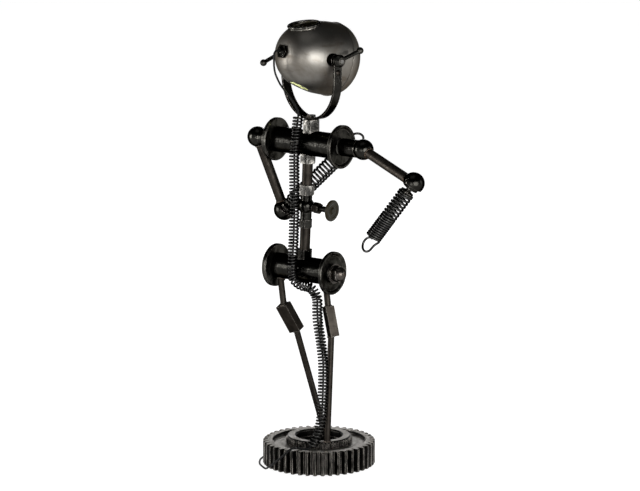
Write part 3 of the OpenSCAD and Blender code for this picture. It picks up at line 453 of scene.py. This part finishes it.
def metal(name, base, second, worn, wear=0.5, gloss=(0.14, 0.32), grain=330, relief=0.00035,
          edge=0.0016, tops_and_sheen=None, patch=(45, 0.44, 0.66), rim=0.1):
    """Oiled dark metal: blotches of a second colour, a lumpy skin and bright metal at the edges.

    tops is the colour of faces that look up, partly bare machined metal and partly a painted sheen for the
    light they mirror; patch the size and spread of the blotches, and rim the share of light that is mirrored
    where the surface turns away.
    """
    f = Finish(name)
    blotch = f.ramp(f.noise(patch[0], 5, 0.65, twist=0.6), *patch[1:])
    lumps = f.noise(grain, 3, 0.6)
    smear = f.noise(120, 4, 0.6, stretch=(1, 1, 0.5))
    rubbed = f.sums("MULTIPLY", f.ramp(f.edges(edge), 0.015, 0.14), f.ramp(smear, 0.36, 0.58))
    rubbed = f.sums("MULTIPLY", rubbed, wear)
    tone = f.mix(blotch, base, second)
    if tops_and_sheen:
        # Faces that look up get a lighter colour: partly bare machined metal, partly painted sheen.
        turned_and_sheen = f.sums("MULTIPLY", f.ramp(f.upward(), 0.75, 0.95), f.ramp(smear, 0.3, 0.6, 0.55, 1.0))
        tone = f.mix(turned_and_sheen, tone, tops_and_sheen)
    f.join(f.mix(rubbed, tone, worn), f.shader.inputs["Base Color"])
    rough = f.sums("ADD", f.ramp(smear, 0.3, 0.7, *gloss), f.ramp(lumps, 0.35, 0.75, -0.04, 0.06))
    if tops_and_sheen:
        rough = f.sums("ADD", rough, f.sums("MULTIPLY", turned_and_sheen, 0.2))
    f.join(rough, f.shader.inputs["Roughness"])
    f.rounded(f.sums("ADD", lumps, f.sums("MULTIPLY", smear, 0.8)), 0.6, relief, edge * 0.6)
    f.set(Metallic=1.0, Specular_Tint=(rim, rim, rim, 1))
    return f.material


def knob_finish(name, paint, stem):
    """Olive paint on the tap's disc, oiled iron on its stem."""
    f = Finish(name)
    along = f.add("ShaderNodeVectorMath", operation="DOT_PRODUCT")
    f.join(f.place, along.inputs[0])
    along.inputs[1].default_value = STEM_AXIS
    back = (TAP + (KNOB_REACH - KNOB_T) * STEM_AXIS).dot(STEM_AXIS) * MM
    painted = f.ramp(along.outputs["Value"], back, back + MM)
    speck = f.noise(260, 4, 0.65)
    dull = f.mix(f.ramp(speck, 0.42, 0.66), paint, shade(paint, 0.45))
    f.join(f.mix(painted, stem, dull), f.shader.inputs["Base Color"])
    f.join(f.sums("SUBTRACT", 1.0, painted), f.shader.inputs["Metallic"])
    f.join(f.ramp(speck, 0.3, 0.7, 0.22, 0.4), f.shader.inputs["Roughness"])
    f.rounded(speck, 0.4, 0.0002, 0.001)
    f.set(Specular_IOR_Level=0.25, Specular_Tint=(0.3, 0.3, 0.3, 1))
    return f.material


def head_finish(name, base, patina):
    """Spun steel with a brown bloom, dark specks, scratches and scuffs."""
    f = Finish(name)
    bloom = f.ramp(f.noise(11, 6, 0.62, twist=0.8), 0.42, 0.70)
    cloud = f.ramp(f.noise(38, 5, 0.6), 0.35, 0.75)
    specks = f.ramp(f.noise(300, 3, 0.7), 0.62, 0.78)
    tone = f.mix(f.sums("MULTIPLY", bloom, 0.75), base, patina)
    dark = shade(patina, 0.55)
    tone = f.mix(f.sums("MULTIPLY", specks, f.sums("MULTIPLY", cloud, 0.7)), tone, dark)
    marks = f.ramp(f.noise(70, 3, 0.6, stretch=(1, 0.9, 0.12), twist=0.4), 0.66, 0.72)
    scuffs = f.ramp(f.noise(26, 4, 0.6, stretch=(0.5, 0.5, 1.6)), 0.60, 0.68)
    tone = f.mix(f.sums("MULTIPLY", marks, 0.45), tone, dark)
    tone = f.mix(f.sums("MULTIPLY", scuffs, 0.4), tone, patina)
    f.join(tone, f.shader.inputs["Base Color"])
    f.set(Metallic=1.0, Specular_Tint=(0.25, 0.25, 0.25, 1))
    rough = f.ramp(bloom, 0.0, 1.0, 0.36, 0.46)
    f.join(f.sums("ADD", rough, f.sums("MULTIPLY", cloud, 0.06)), f.shader.inputs["Roughness"])
    f.rounded(f.sums("ADD", f.noise(160, 4, 0.6), f.sums("MULTIPLY", cloud, 0.8)), 0.25, 0.00025, 0.0008)
    return f.material


def plain_finish(name, base, rough=(0.45, 0.65), grain=900, relief=0.00008, spec=0.3):
    """Rubber, moulded plastic or paint with a fine grain and slightly uneven tone."""
    f = Finish(name)
    tone = f.noise(60, 4, 0.6)
    light = tuple(min(1, v) for v in shade(base, 1.5))
    f.join(f.mix(f.ramp(tone, 0.4, 0.75, 0, 0.6), base, light), f.shader.inputs["Base Color"])
    f.join(f.ramp(tone, 0.3, 0.7, *rough), f.shader.inputs["Roughness"])
    f.rounded(f.noise(grain, 2, 0.5), 0.4, relief, 0.0006)
    f.set(Specular_IOR_Level=spec)
    return f.material


def glow_finish(name, base, strength):
    """Frosted glass that shines."""
    f = Finish(name)
    tone = f.mix(f.ramp(f.noise(40, 2, 0.5), 0.3, 0.7, 0, 0.3), base, (1, 1, 1))
    f.join(tone, f.shader.inputs["Base Color"])
    f.join(tone, f.shader.inputs["Emission Color"])
    f.set(Emission_Strength=strength, Roughness=0.4)
    return f.material


def finish_of(kind):
    """The finish of that kind, made on first use."""
    c = colours()
    key = f"{kind}_finish"
    if key in bpy.data.materials:
        return bpy.data.materials[key]
    iron, steel, gear, worn, rust, spring, rubber = (
        tuple(getattr(c, k)) for k in ("iron", "steel", "gear", "worn", "rust", "spring", "rubber"))
    makers = {
        "oiled_iron": lambda: metal(
            key, iron, shade(iron, 1.9), worn, wear=0.6, gloss=(0.05, 0.17), grain=240, relief=0.0006),
        "collar_iron": lambda: metal(
            key, shade(iron, 2), shade(iron, 9), worn, wear=0.9, gloss=(0.12, 0.32), patch=(70, 0.46, 0.6)),
        "flange_iron": lambda: metal(
            key, iron, shade(iron, 3.6), worn, wear=0.5, gloss=(0.16, 0.5), edge=0.002,
            patch=(34, 0.42, 0.62)),
        "dark_steel": lambda: metal(key, steel, shade(steel, 0.6), worn, wear=0.5, gloss=(0.32, 0.5)),
        # A lighter copy of dark steel for the right arm tube: painted light for the light that falls on it.
        "lit_arm_steel": lambda: metal(
            key, shade(steel, 1.7), shade(steel, 1.1), worn, wear=0.6, gloss=(0.4, 0.58), rim=0.4),
        "rusty_nut": lambda: metal(
            key, (0.075, 0.070, 0.065), (0.050, 0.039, 0.031), worn, wear=0.75, gloss=(0.2, 0.4)),
        "worn_nut": lambda: metal(
            key, (0.055, 0.053, 0.049), (0.5, 0.48, 0.44), worn, wear=0.9, gloss=(0.22, 0.42), edge=0.0025,
            patch=(46, 0.46, 0.62)),
        # The gear's up-facing faces are lightened: partly bare machined metal, partly painted sheen.
        "gear_iron": lambda: metal(
            key, gear, shade(gear, 0.5), worn, wear=0.8, gloss=(0.26, 0.46), grain=260, relief=0.0005,
            edge=0.0025, tops_and_sheen=shade(worn, 0.5), rim=0.8),
        "bare_steel": lambda: metal(
            key, (0.12, 0.118, 0.112), (0.2, 0.195, 0.185), worn, wear=0.6, gloss=(0.25, 0.4)),
        "spring_wire": lambda: metal(key, spring, shade(spring, 1.8), worn, wear=0.0, gloss=(0.16, 0.3)),
        "weld": lambda: metal(
            key, (0.07, 0.063, 0.055), shade(rust, 0.6), worn, wear=0.5, gloss=(0.2, 0.4), grain=500,
            relief=0.0004),
        "head_steel": lambda: head_finish(key, tuple(c.head), tuple(c.patina)),
        "knob_paint": lambda: knob_finish(key, tuple(c.knob), iron),
        "rubber": lambda: plain_finish(key, rubber, spec=0.12),
        "plug_plastic": lambda: plain_finish(key, shade(rubber, 1.3), rough=(0.4, 0.55)),
        "felt": lambda: plain_finish(
            key, tuple(c.felt), rough=(0.9, 1.0), grain=1500, relief=0.0004, spec=0.05),
        "white_enamel": lambda: plain_finish(
            key, (0.62, 0.62, 0.5), rough=(0.3, 0.4), grain=300, relief=0.00005, spec=0.4),
        "porcelain": lambda: plain_finish(
            key, (0.62, 0.6, 0.54), rough=(0.15, 0.25), grain=200, relief=0.00003, spec=0.5),
        "bulb_glow": lambda: glow_finish(key, tuple(c.glow), strength=6.0),
    }
    return makers[kind]()


def dress(key, *nodes):
    """Gives CAD nodes a finish."""
    for node in nodes:
        mesh = frame["nodes"][node].data
        mesh.materials.clear()
        mesh.materials.append(finish_of(key))


def place(piece, key, body, slot):
    """Gives a new piece its finish and lets it ride on a body."""
    piece.data.materials.append(finish_of(key))
    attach(piece, body)
    return piece


# Welds

def weld(name, start, direction, radius, meet, body):
    """A rippled bead where a round rod runs into another piece.

    meet takes a point on the rod's surface and the rod's direction, and gives how far along that
    direction the other piece's surface lies.
    """
    u, v, d = axes_along(direction)
    start = Vector(start)
    line = []
    for a in np.radians(np.linspace(0, 360, 97))[:-1]:
        p = start + radius * (math.cos(a) * u + math.sin(a) * v)
        line.append(p + meet(p, d) * d)
    line = np.array(line)
    bead = sizes().bead / MM
    count = np.arange(len(line))
    ripple = 1 + 0.16 * np.sin(count * 2 * math.pi / 6) + 0.12 * np.sin(count * 1.7)
    piece = tube(name, line, bead * ripple, 8, closed=True)
    return place(piece, "weld", body, "dark_steel")


def to_round(centre, radius, axis=None):
    """Distance to a ball, or to a barrel along the given axis, from outside it."""
    def meet(p, d):
        gap, run = p - centre, d.copy()
        if axis:
            gap, run = gap - gap.dot(axis) * axis, run - run.dot(axis) * axis
        a, b, c = run.dot(run), gap.dot(run), gap.dot(gap) - radius * radius
        root = math.sqrt(max(0, b * b - a * c))
        return (-b - root) / a
    return meet


def to_flat(point, normal):
    """Distance to a flat face."""
    def meet(p, d):
        return (point - p).dot(normal) / d.dot(normal)
    return meet


class LAMP_OT_stage(bpy.types.Operator):
    """Sets the camera, the floor, the studio around it and the lights"""

    bl_idname = "lamp.stage"
    bl_label = "Stage"

    def execute(self, context):
        scene = context.scene
        scene.view_settings.view_transform = "Standard"
        camera = bpy.data.objects.new("camera", bpy.data.cameras.new("camera"))
        camera.location = CAMERA_PLACE
        camera.rotation_euler = CAMERA_TURN
        camera.data.lens = sizes().lens
        camera.data.sensor_width = 36
        camera.data.shift_x = 1 / 640
        camera.data.clip_end = 60
        context.collection.objects.link(camera)
        scene.camera = camera
        self.world(scene)
        self.floor()
        for name, where, aim, size, power in LIGHTS:
            light = bpy.data.lights.new(name, "AREA")
            light.shape = "RECTANGLE"
            light.size, light.size_y = size
            light.energy = power
            lamp = bpy.data.objects.new(name, light)
            lamp.location = where
            lamp.rotation_euler = (Vector(aim) - Vector(where)).to_track_quat("-Z", "Y").to_euler()
            lamp.visible_camera = False
            context.collection.objects.link(lamp)
        return {"FINISHED"}

    def world(self, scene):
        """White to the camera, soft light, and a mirrored room that is bright low down and behind."""
        world = bpy.data.worlds.new("studio")
        scene.world = world
        world.use_nodes = True
        nodes, links = world.node_tree.nodes, world.node_tree.links
        nodes.clear()

        def backdrop(strength):
            node = nodes.new("ShaderNodeBackground")
            node.inputs["Color"].default_value = (1, 1, 1, 1)
            node.inputs["Strength"].default_value = strength
            return node

        def either(share, first, second):
            node = nodes.new("ShaderNodeMixShader")
            for source, socket in zip((share, first.outputs[0], second.outputs[0]), node.inputs):
                links.new(source, socket)
            return node

        room = nodes.new("ShaderNodeTexCoord").outputs["Generated"]
        height = nodes.new("ShaderNodeSeparateXYZ")
        links.new(room, height.inputs[0])
        wall = nodes.new("ShaderNodeValToRGB")
        for element, (position, tone) in zip(wall.color_ramp.elements, ROOM_TONES):
            element.position = position
            element.color = (tone, tone, tone, 1)
        links.new(height.outputs["Z"], wall.inputs["Fac"])
        behind = nodes.new("ShaderNodeVectorMath")
        behind.operation = "DOT_PRODUCT"
        behind.inputs[1].default_value = ROOM_BACK
        links.new(room, behind.inputs[0])
        sweep = nodes.new("ShaderNodeMapRange")
        sweep.inputs["From Min"].default_value, sweep.inputs["From Max"].default_value = ROOM_SWEEP
        sweep.inputs["To Min"].default_value = ROOM_FRONT
        links.new(behind.outputs["Value"], sweep.inputs["Value"])
        mirrored = backdrop(1)
        links.new(wall.outputs["Color"], mirrored.inputs["Color"])
        links.new(sweep.outputs["Result"], mirrored.inputs["Strength"])
        path = nodes.new("ShaderNodeLightPath")
        seen = nodes.new("ShaderNodeMath")
        seen.operation = "MAXIMUM"
        links.new(path.outputs["Is Camera Ray"], seen.inputs[0])
        links.new(path.outputs["Is Transmission Ray"], seen.inputs[1])
        lit = either(path.outputs["Is Glossy Ray"], backdrop(SOFT_LIGHT), mirrored)
        out = nodes.new("ShaderNodeOutputWorld")
        links.new(either(seen.outputs[0], lit, backdrop(1)).outputs[0], out.inputs["Surface"])

    def floor(self):
        """A pale floor, lifted to white for the camera and in mirrors."""
        signs = ((-1, -1), (1, -1), (1, 1), (-1, 1))
        corners = [(x * FLOOR_REACH, y * FLOOR_REACH, FLOOR_DROP) for x, y in signs]
        floor = mesh_piece("floor", corners, [(0, 1, 2, 3)], smooth=False)
        f = Finish("pale_floor")
        tone = f.mix(f.noise(3, 2, 0.5), (0.30, 0.30, 0.30), (0.32, 0.32, 0.32))
        f.join(tone, f.shader.inputs["Base Color"])
        f.set(Roughness=0.9, Specular_IOR_Level=0.1)
        out = f.nodes["Material Output"]
        path = f.add("ShaderNodeLightPath")
        lift = f.add("ShaderNodeEmission")
        lift.inputs["Color"].default_value = (1, 1, 1, 1)
        lift.inputs["Strength"].default_value = FLOOR_LIFT
        clear = f.add("ShaderNodeEmission")
        clear.inputs["Strength"].default_value = 0.0
        seen = f.sums("MAXIMUM", path.outputs["Is Camera Ray"], path.outputs["Is Glossy Ray"])
        seen = f.sums("MAXIMUM", seen, path.outputs["Is Transmission Ray"])
        pick = f.add("ShaderNodeMixShader")
        f.join(seen, pick.inputs[0])
        f.join(clear.outputs[0], pick.inputs[1])
        f.join(lift.outputs[0], pick.inputs[2])
        both = f.add("ShaderNodeAddShader")
        f.join(f.shader.outputs[0], both.inputs[0])
        f.join(pick.outputs[0], both.inputs[1])
        f.join(both.outputs[0], out.inputs["Surface"])
        floor.data.materials.append(f.material)


class LAMP_OT_leads(bpy.types.Operator):
    """Runs the lead from the head down to the spring on the spine"""

    bl_idname = "lamp.leads"
    bl_label = "Leads"

    def execute(self, context):
        d = sizes().cord
        exit_point = PIVOT + (FRONT_DEPTH - sizes().seam_back / MM + GLAND_OUT) * HEAD_FORWARD
        upper = smooth_line([exit_point, exit_point + d / MM * HEAD_FORWARD] + LEAD_UPPER, 2)
        lower = smooth_line(LEAD_LOWER, 2)
        for name, line, pair in (
                ("lead_upper_cord", upper, ("head", "yoke")), ("lead_lower_cord", lower, ("yoke", "stand"))):
            piece = tube(name, line, d / MM / 2, 12)
            piece.data.materials.append(finish_of("rubber"))
            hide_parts(name.replace("_cord", ""))
            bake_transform(piece)
        return {"FINISHED"}


class LAMP_OT_mains(bpy.types.Operator):
    """Lays the mains cord over the base and winds up the rest behind it"""

    bl_idname = "lamp.mains"
    bl_label = "Mains cord"

    def execute(self, context):
        d = sizes().cord
        line = smooth_line(MAINS, 3)
        coil = self.coil()
        whole = np.vstack([line, coil[1:]])
        cord = cord_curve("mains_flex", whole, d)
        place(cord, "rubber", "stand", "cord")
        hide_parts("mains_cord", "cord_coil")
        dress("plug_plastic", "plug", "coil_tie")
        core = cord_curve("spine_flex", smooth_line(SPINE, 3), d)
        place(core, "rubber", "stand", "cord")
        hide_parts("spine_cable")
        return {"FINISHED"}

    def coil(self):
        """Two flat spirals, in on the floor layer and out again above it, then the run to the plug."""
        outer = COIL_MID_R + COIL_STEP * COIL_TURNS / 2
        inner = outer - COIL_STEP * COIL_TURNS
        arm = np.array((math.cos(COIL_FROM), math.sin(COIL_FROM), 0))
        centre = np.array(MAINS[-1]) - outer * arm
        points = []
        for i in range(COIL_TURNS * COIL_RINGS + 1):
            a, r = COIL_FROM - 2 * math.pi * i / COIL_RINGS, outer - COIL_STEP * i / COIL_RINGS
            points.append(centre + (r * math.cos(a), r * math.sin(a), 0))
        for i in range(1, COIL_TURNS * COIL_RINGS + 1):
            a = COIL_FROM - 2 * math.pi * i / COIL_RINGS
            r = inner + COIL_STEP * max(0, i / COIL_RINGS - 0.5)
            rise = COIL_STEP * min(1, 2 * i / COIL_RINGS)
            points.append(centre + (r * math.cos(a), r * math.sin(a), rise))
        way = np.array((math.sin(COIL_FROM), -math.cos(COIL_FROM), 0))
        last = points[-1]
        goal = last + PLUG_RUN * way - (0, 0, COIL_STEP / 4)
        points += [last + (goal - last) * k / 5 for k in range(1, 6)]
        return np.array(points)


class LAMP_OT_spine_spring(bpy.types.Operator):
    """Winds the long spring round the cable in front of the spine"""

    bl_idname = "lamp.spine_spring"
    bl_label = "Spine spring"

    def execute(self, context):
        s = sizes()
        rings = 18
        route = smooth_line(SPINE, 1)
        route = spaced(route, length_of(route) / MM / (s.spine_coils * rings))
        _, u, v = carried_sides(route, (0, 1, 0))
        r = (s.spine_outer - s.spine_wire) / 2 / MM
        a = 2 * math.pi * np.arange(len(route)) / rings
        line = route + r * (np.cos(a)[:, None] * u + np.sin(a)[:, None] * v)
        piece = tube("spine_coil", line, s.spine_wire / 2 / MM, 8)
        place(piece, "spring_wire", "stand", "spring_steel")
        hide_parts("spine_spring")
        return {"FINISHED"}


class LAMP_OT_forearms(bpy.types.Operator):
    """Winds the two forearm springs with their end loops"""

    bl_idname = "lamp.forearms"
    bl_label = "Forearm springs"

    def execute(self, context):
        self.wind("left", LEFT_ELBOW, LEFT_HAND, [(0.04, 1.2), (1.0, 22)])
        self.wind("right", RIGHT_ELBOW, RIGHT_HAND, [(0.03, 1.0), (0.52, 8.6), (1.0, 20)])
        return {"FINISHED"}

    def wind(self, side, elbow, hand, table):
        """table gives, for shares of the spring's length, the turns wound up to there."""
        s = sizes()
        u, v, d = axes_along(hand - elbow)
        length = (hand - elbow).length - s.spring_start / MM
        r = (s.forearm_outer - s.forearm_wire) / 2 / MM
        rings = 22
        turns = table[-1][1]
        n = round(turns * rings)
        at = np.interp(np.linspace(0, turns, n + 1), [0] + [t for _, t in table], [0] + [w for w, _ in table])
        a = 2 * math.pi * np.arange(n + 1) / rings
        own = [(r * math.cos(x), r * math.sin(x), length * w) for x, w in zip(a, at)]
        rise = 0.9 * r
        for k in range(1, BEND_STEPS + 1):
            share = k / BEND_STEPS
            x = a[-1] + BEND_TURN * (1 - (1 - share) ** 2)
            own.append((r * math.cos(x), r * math.sin(x), length + BEND_LIFT * share + rise * share ** 2))
        last = a[-1] + BEND_TURN
        foot = length + BEND_LIFT + rise
        for k in range(1, LOOP_STEPS + 1):
            x = LOOP_SWEEP * k / LOOP_STEPS
            out = r * math.cos(x)
            own.append((out * math.cos(last), out * math.sin(last), foot + r * math.sin(x)))
        start = elbow + s.spring_start / MM * d
        line = np.array(start) + np.array(own) @ np.array((u, v, d))
        piece = tube(f"{side}_forearm_coil", line, s.forearm_wire / 2 / MM, 10)
        place(piece, "spring_wire", f"{side}_forearm", "spring_steel")
        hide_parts(f"{side}_forearm_spring")
        dress("oiled_iron", f"{side}_elbow_stud")


class LAMP_OT_base(bpy.types.Operator):
    """Finishes the gear, its hub ring and the felt"""

    bl_idname = "lamp.base"
    bl_label = "Base"

    def execute(self, context):
        dress("gear_iron", "base_gear", "hub_ring")
        dress("felt", "base_felt")
        return {"FINISHED"}


class LAMP_OT_legs(bpy.types.Operator):
    """Finishes the legs and runs their welds"""

    bl_idname = "lamp.legs"
    bl_label = "Legs"

    def execute(self, context):
        for side in ("left", "right"):
            dress("dark_steel", f"{side}_thigh", f"{side}_knee", f"{side}_shin")
        floor = to_flat(Vector((0, 0, RING_TOP)), Vector((0, 0, 1)))
        for side, points in LEGS.items():
            hip, top, foot, shin, ground = (Vector(p) for p in points)
            up = (top - foot).normalized()
            middle = (top + foot) / 2
            barrel = to_round(HIP, HIP_R, Vector((1, 0, 0)))
            knee_top, knee_foot = (to_flat(middle + reach * up, up) for reach in (KNEE_HALF, -KNEE_HALF))
            weld(f"{side}_hip_weld", top, hip - top, LEG_R, barrel, "stand")
            weld(f"{side}_knee_weld", hip, top - hip, LEG_R, knee_top, "stand")
            weld(f"{side}_shin_weld", ground, shin - ground, LEG_R, knee_foot, "stand")
            weld(f"{side}_foot_weld", shin, ground - shin, LEG_R, floor, "stand")
        return {"FINISHED"}


class LAMP_OT_hubs(bpy.types.Operator):
    """Finishes the hip and shoulder barrels with their flanges"""

    bl_idname = "lamp.hubs"
    bl_label = "Hubs"

    def execute(self, context):
        for hub in ("hip", "shoulder"):
            dress("oiled_iron", f"{hub}_barrel")
            dress("flange_iron", f"{hub}_flange_left", f"{hub}_flange_right")
        dress("bare_steel", "hip_bearings", "hip_axle", "shoulder_axle", "shoulder_bushes")
        dress("rusty_nut", "hip_cap_nuts")
        return {"FINISHED"}


class LAMP_OT_spine(bpy.types.Operator):
    """Finishes the pipes, the tap and the nuts of the spine and neck"""

    bl_idname = "lamp.spine"
    bl_label = "Spine"

    def execute(self, context):
        dress("dark_steel", "lower_pipe", "upper_pipe", "tap_gland_nut")
        dress("oiled_iron", "hip_collar", "tap_body")
        dress("worn_nut", "tap_top_nut", "neck_nut", "shoulder_nut")
        dress("knob_paint", "tap_knob")
        return {"FINISHED"}


class LAMP_OT_arms(bpy.types.Operator):
    """Finishes the arms and runs their welds"""

    bl_idname = "lamp.arms"
    bl_label = "Arms"

    def execute(self, context):
        # The right arm tube gets a lighter copy of the left one's steel, as painted light.
        for side, tube_finish, ball, elbow in (
                ("left", "dark_steel", LEFT_BALL, LEFT_ELBOW),
                ("right", "lit_arm_steel", RIGHT_BALL, RIGHT_ELBOW)):
            dress("oiled_iron", f"{side}_ball_stub", f"{side}_elbow")
            dress(tube_finish, f"{side}_arm_tube")
            middle = (ball + elbow) / 2
            weld(f"{side}_ball_weld", middle, ball - middle, ARM_R, to_round(ball, BALL_R), f"{side}_arm")
            weld(f"{side}_elbow_weld", middle, elbow - middle, ARM_R, to_round(elbow, ELBOW_R), f"{side}_arm")
        return {"FINISHED"}


class LAMP_OT_yoke(bpy.types.Operator):
    """Finishes the yoke, its bolt, rivets, pivot and levers"""

    bl_idname = "lamp.yoke"
    bl_label = "Yoke"

    def execute(self, context):
        dress("oiled_iron", "yoke", "pivot_spacers")
        dress("flange_iron", "left_lever", "right_lever")
        dress("dark_steel", "yoke_bolt", "yoke_rivets")
        dress("bare_steel", "pivot_rod")
        return {"FINISHED"}


class LAMP_OT_head(bpy.types.Operator):
    """Finishes the head, rolls its seam and lights the lamp"""

    bl_idname = "lamp.head"
    bl_label = "Head"

    def execute(self, context):
        s = sizes()
        dress("head_steel", "head_front", "head_rear")
        dress("collar_iron", "head_collar")
        dress("oiled_iron", "cable_gland")
        dress("porcelain", "lamp_holder")
        dress("bulb_glow", "bulb")
        u, v, _ = axes_along(HEAD_FORWARD)
        middle = PIVOT - s.seam_back / MM * HEAD_FORWARD
        turns = np.linspace(0, 2 * math.pi, 120, endpoint=False)
        r = s.head / 2 / MM + SEAM_PROUD
        line = np.array([middle + r * (math.cos(a) * u + math.sin(a) * v) for a in turns])
        bead = tube("head_seam_bead", line, SEAM_BEAD_R, 8, closed=True)
        place(bead, "head_steel", "head", "head_steel")
        self.lining()
        return {"FINISHED"}

    def lining(self):
        """White enamel on the inside of the front bowl round the light mouth."""
        s = sizes()
        u, v, d = axes_along(MOUTH_OUT)
        radius, depth = s.head / 2 / MM - BOWL_WALL, FRONT_DEPTH - BOWL_WALL
        back = s.seam_back / MM
        points, faces = [], []
        rings, sides = 7, 64
        for i in range(rings):
            spread = MOUTH_EDGE + LINING_STEP * i
            for k in range(sides):
                a = 2 * math.pi * k / sides
                way = math.cos(spread) * d + math.sin(spread) * (math.cos(a) * u + math.sin(a) * v)
                along = way.dot(HEAD_FORWARD)
                points.append((PIVOT + self.reach(along, radius, depth, back) * way) * MM)
        for i in range(rings - 1):
            for k in range(sides):
                m = (k + 1) % sides
                faces.append((i * sides + k, i * sides + m, (i + 1) * sides + m, (i + 1) * sides + k))
        piece = mesh_piece("mouth_enamel", points, faces)
        place(piece, "white_enamel", "head", "head_steel")

    def reach(self, along, radius, depth, back):
        """Distance from the pivot to the bowl, where along is the cosine of the angle off its axis."""
        across = math.sqrt(max(0, 1 - along * along))
        low, high = 0.0, depth
        for _ in range(30):
            t = (low + high) / 2
            inside = ((t * along + back) / depth) ** FRONT_FULL + (t * across / radius) ** FRONT_FULL < 1
            low, high = (t, high) if inside else (low, t)
        return low


class LAMP_PT_parts(bpy.types.Panel):
    """Lists the lamp's pieces and their sizes and colours"""

    bl_label = "Robot floor lamp"
    bl_idname = "LAMP_PT_parts"
    bl_space_type = "VIEW_3D"
    bl_region_type = "UI"
    bl_category = "Lamp"

    def draw(self, context):
        for operator in OPERATORS:
            self.layout.operator(operator.bl_idname)
        for group in (context.scene.lamp_sizes, context.scene.lamp_colours):
            for key in group.bl_rna.properties.keys():
                if key not in ("rna_type", "name"):
                    self.layout.prop(group, key)


OPERATORS = (
    LAMP_OT_stage, LAMP_OT_leads, LAMP_OT_mains, LAMP_OT_spine_spring, LAMP_OT_forearms, LAMP_OT_base,
    LAMP_OT_legs, LAMP_OT_hubs, LAMP_OT_spine, LAMP_OT_arms, LAMP_OT_yoke, LAMP_OT_head)
CLASSES = (LampSizes, LampColours, *OPERATORS, LAMP_PT_parts)


def register():
    for each in CLASSES:
        bpy.utils.register_class(each)
    bpy.types.Scene.lamp_sizes = bpy.props.PointerProperty(type=LampSizes)
    bpy.types.Scene.lamp_colours = bpy.props.PointerProperty(type=LampColours)


def unregister():
    del bpy.types.Scene.lamp_colours
    del bpy.types.Scene.lamp_sizes
    for each in reversed(CLASSES):
        bpy.utils.unregister_class(each)


def main():
    register()
    bpy.ops.lamp.stage()
    bpy.ops.lamp.leads()
    bpy.ops.lamp.mains()
    bpy.ops.lamp.spine_spring()
    bpy.ops.lamp.forearms()
    bpy.ops.lamp.base()
    bpy.ops.lamp.legs()
    bpy.ops.lamp.hubs()
    bpy.ops.lamp.spine()
    bpy.ops.lamp.arms()
    bpy.ops.lamp.yoke()
    bpy.ops.lamp.head()


if __name__ == "__main__":
    main()
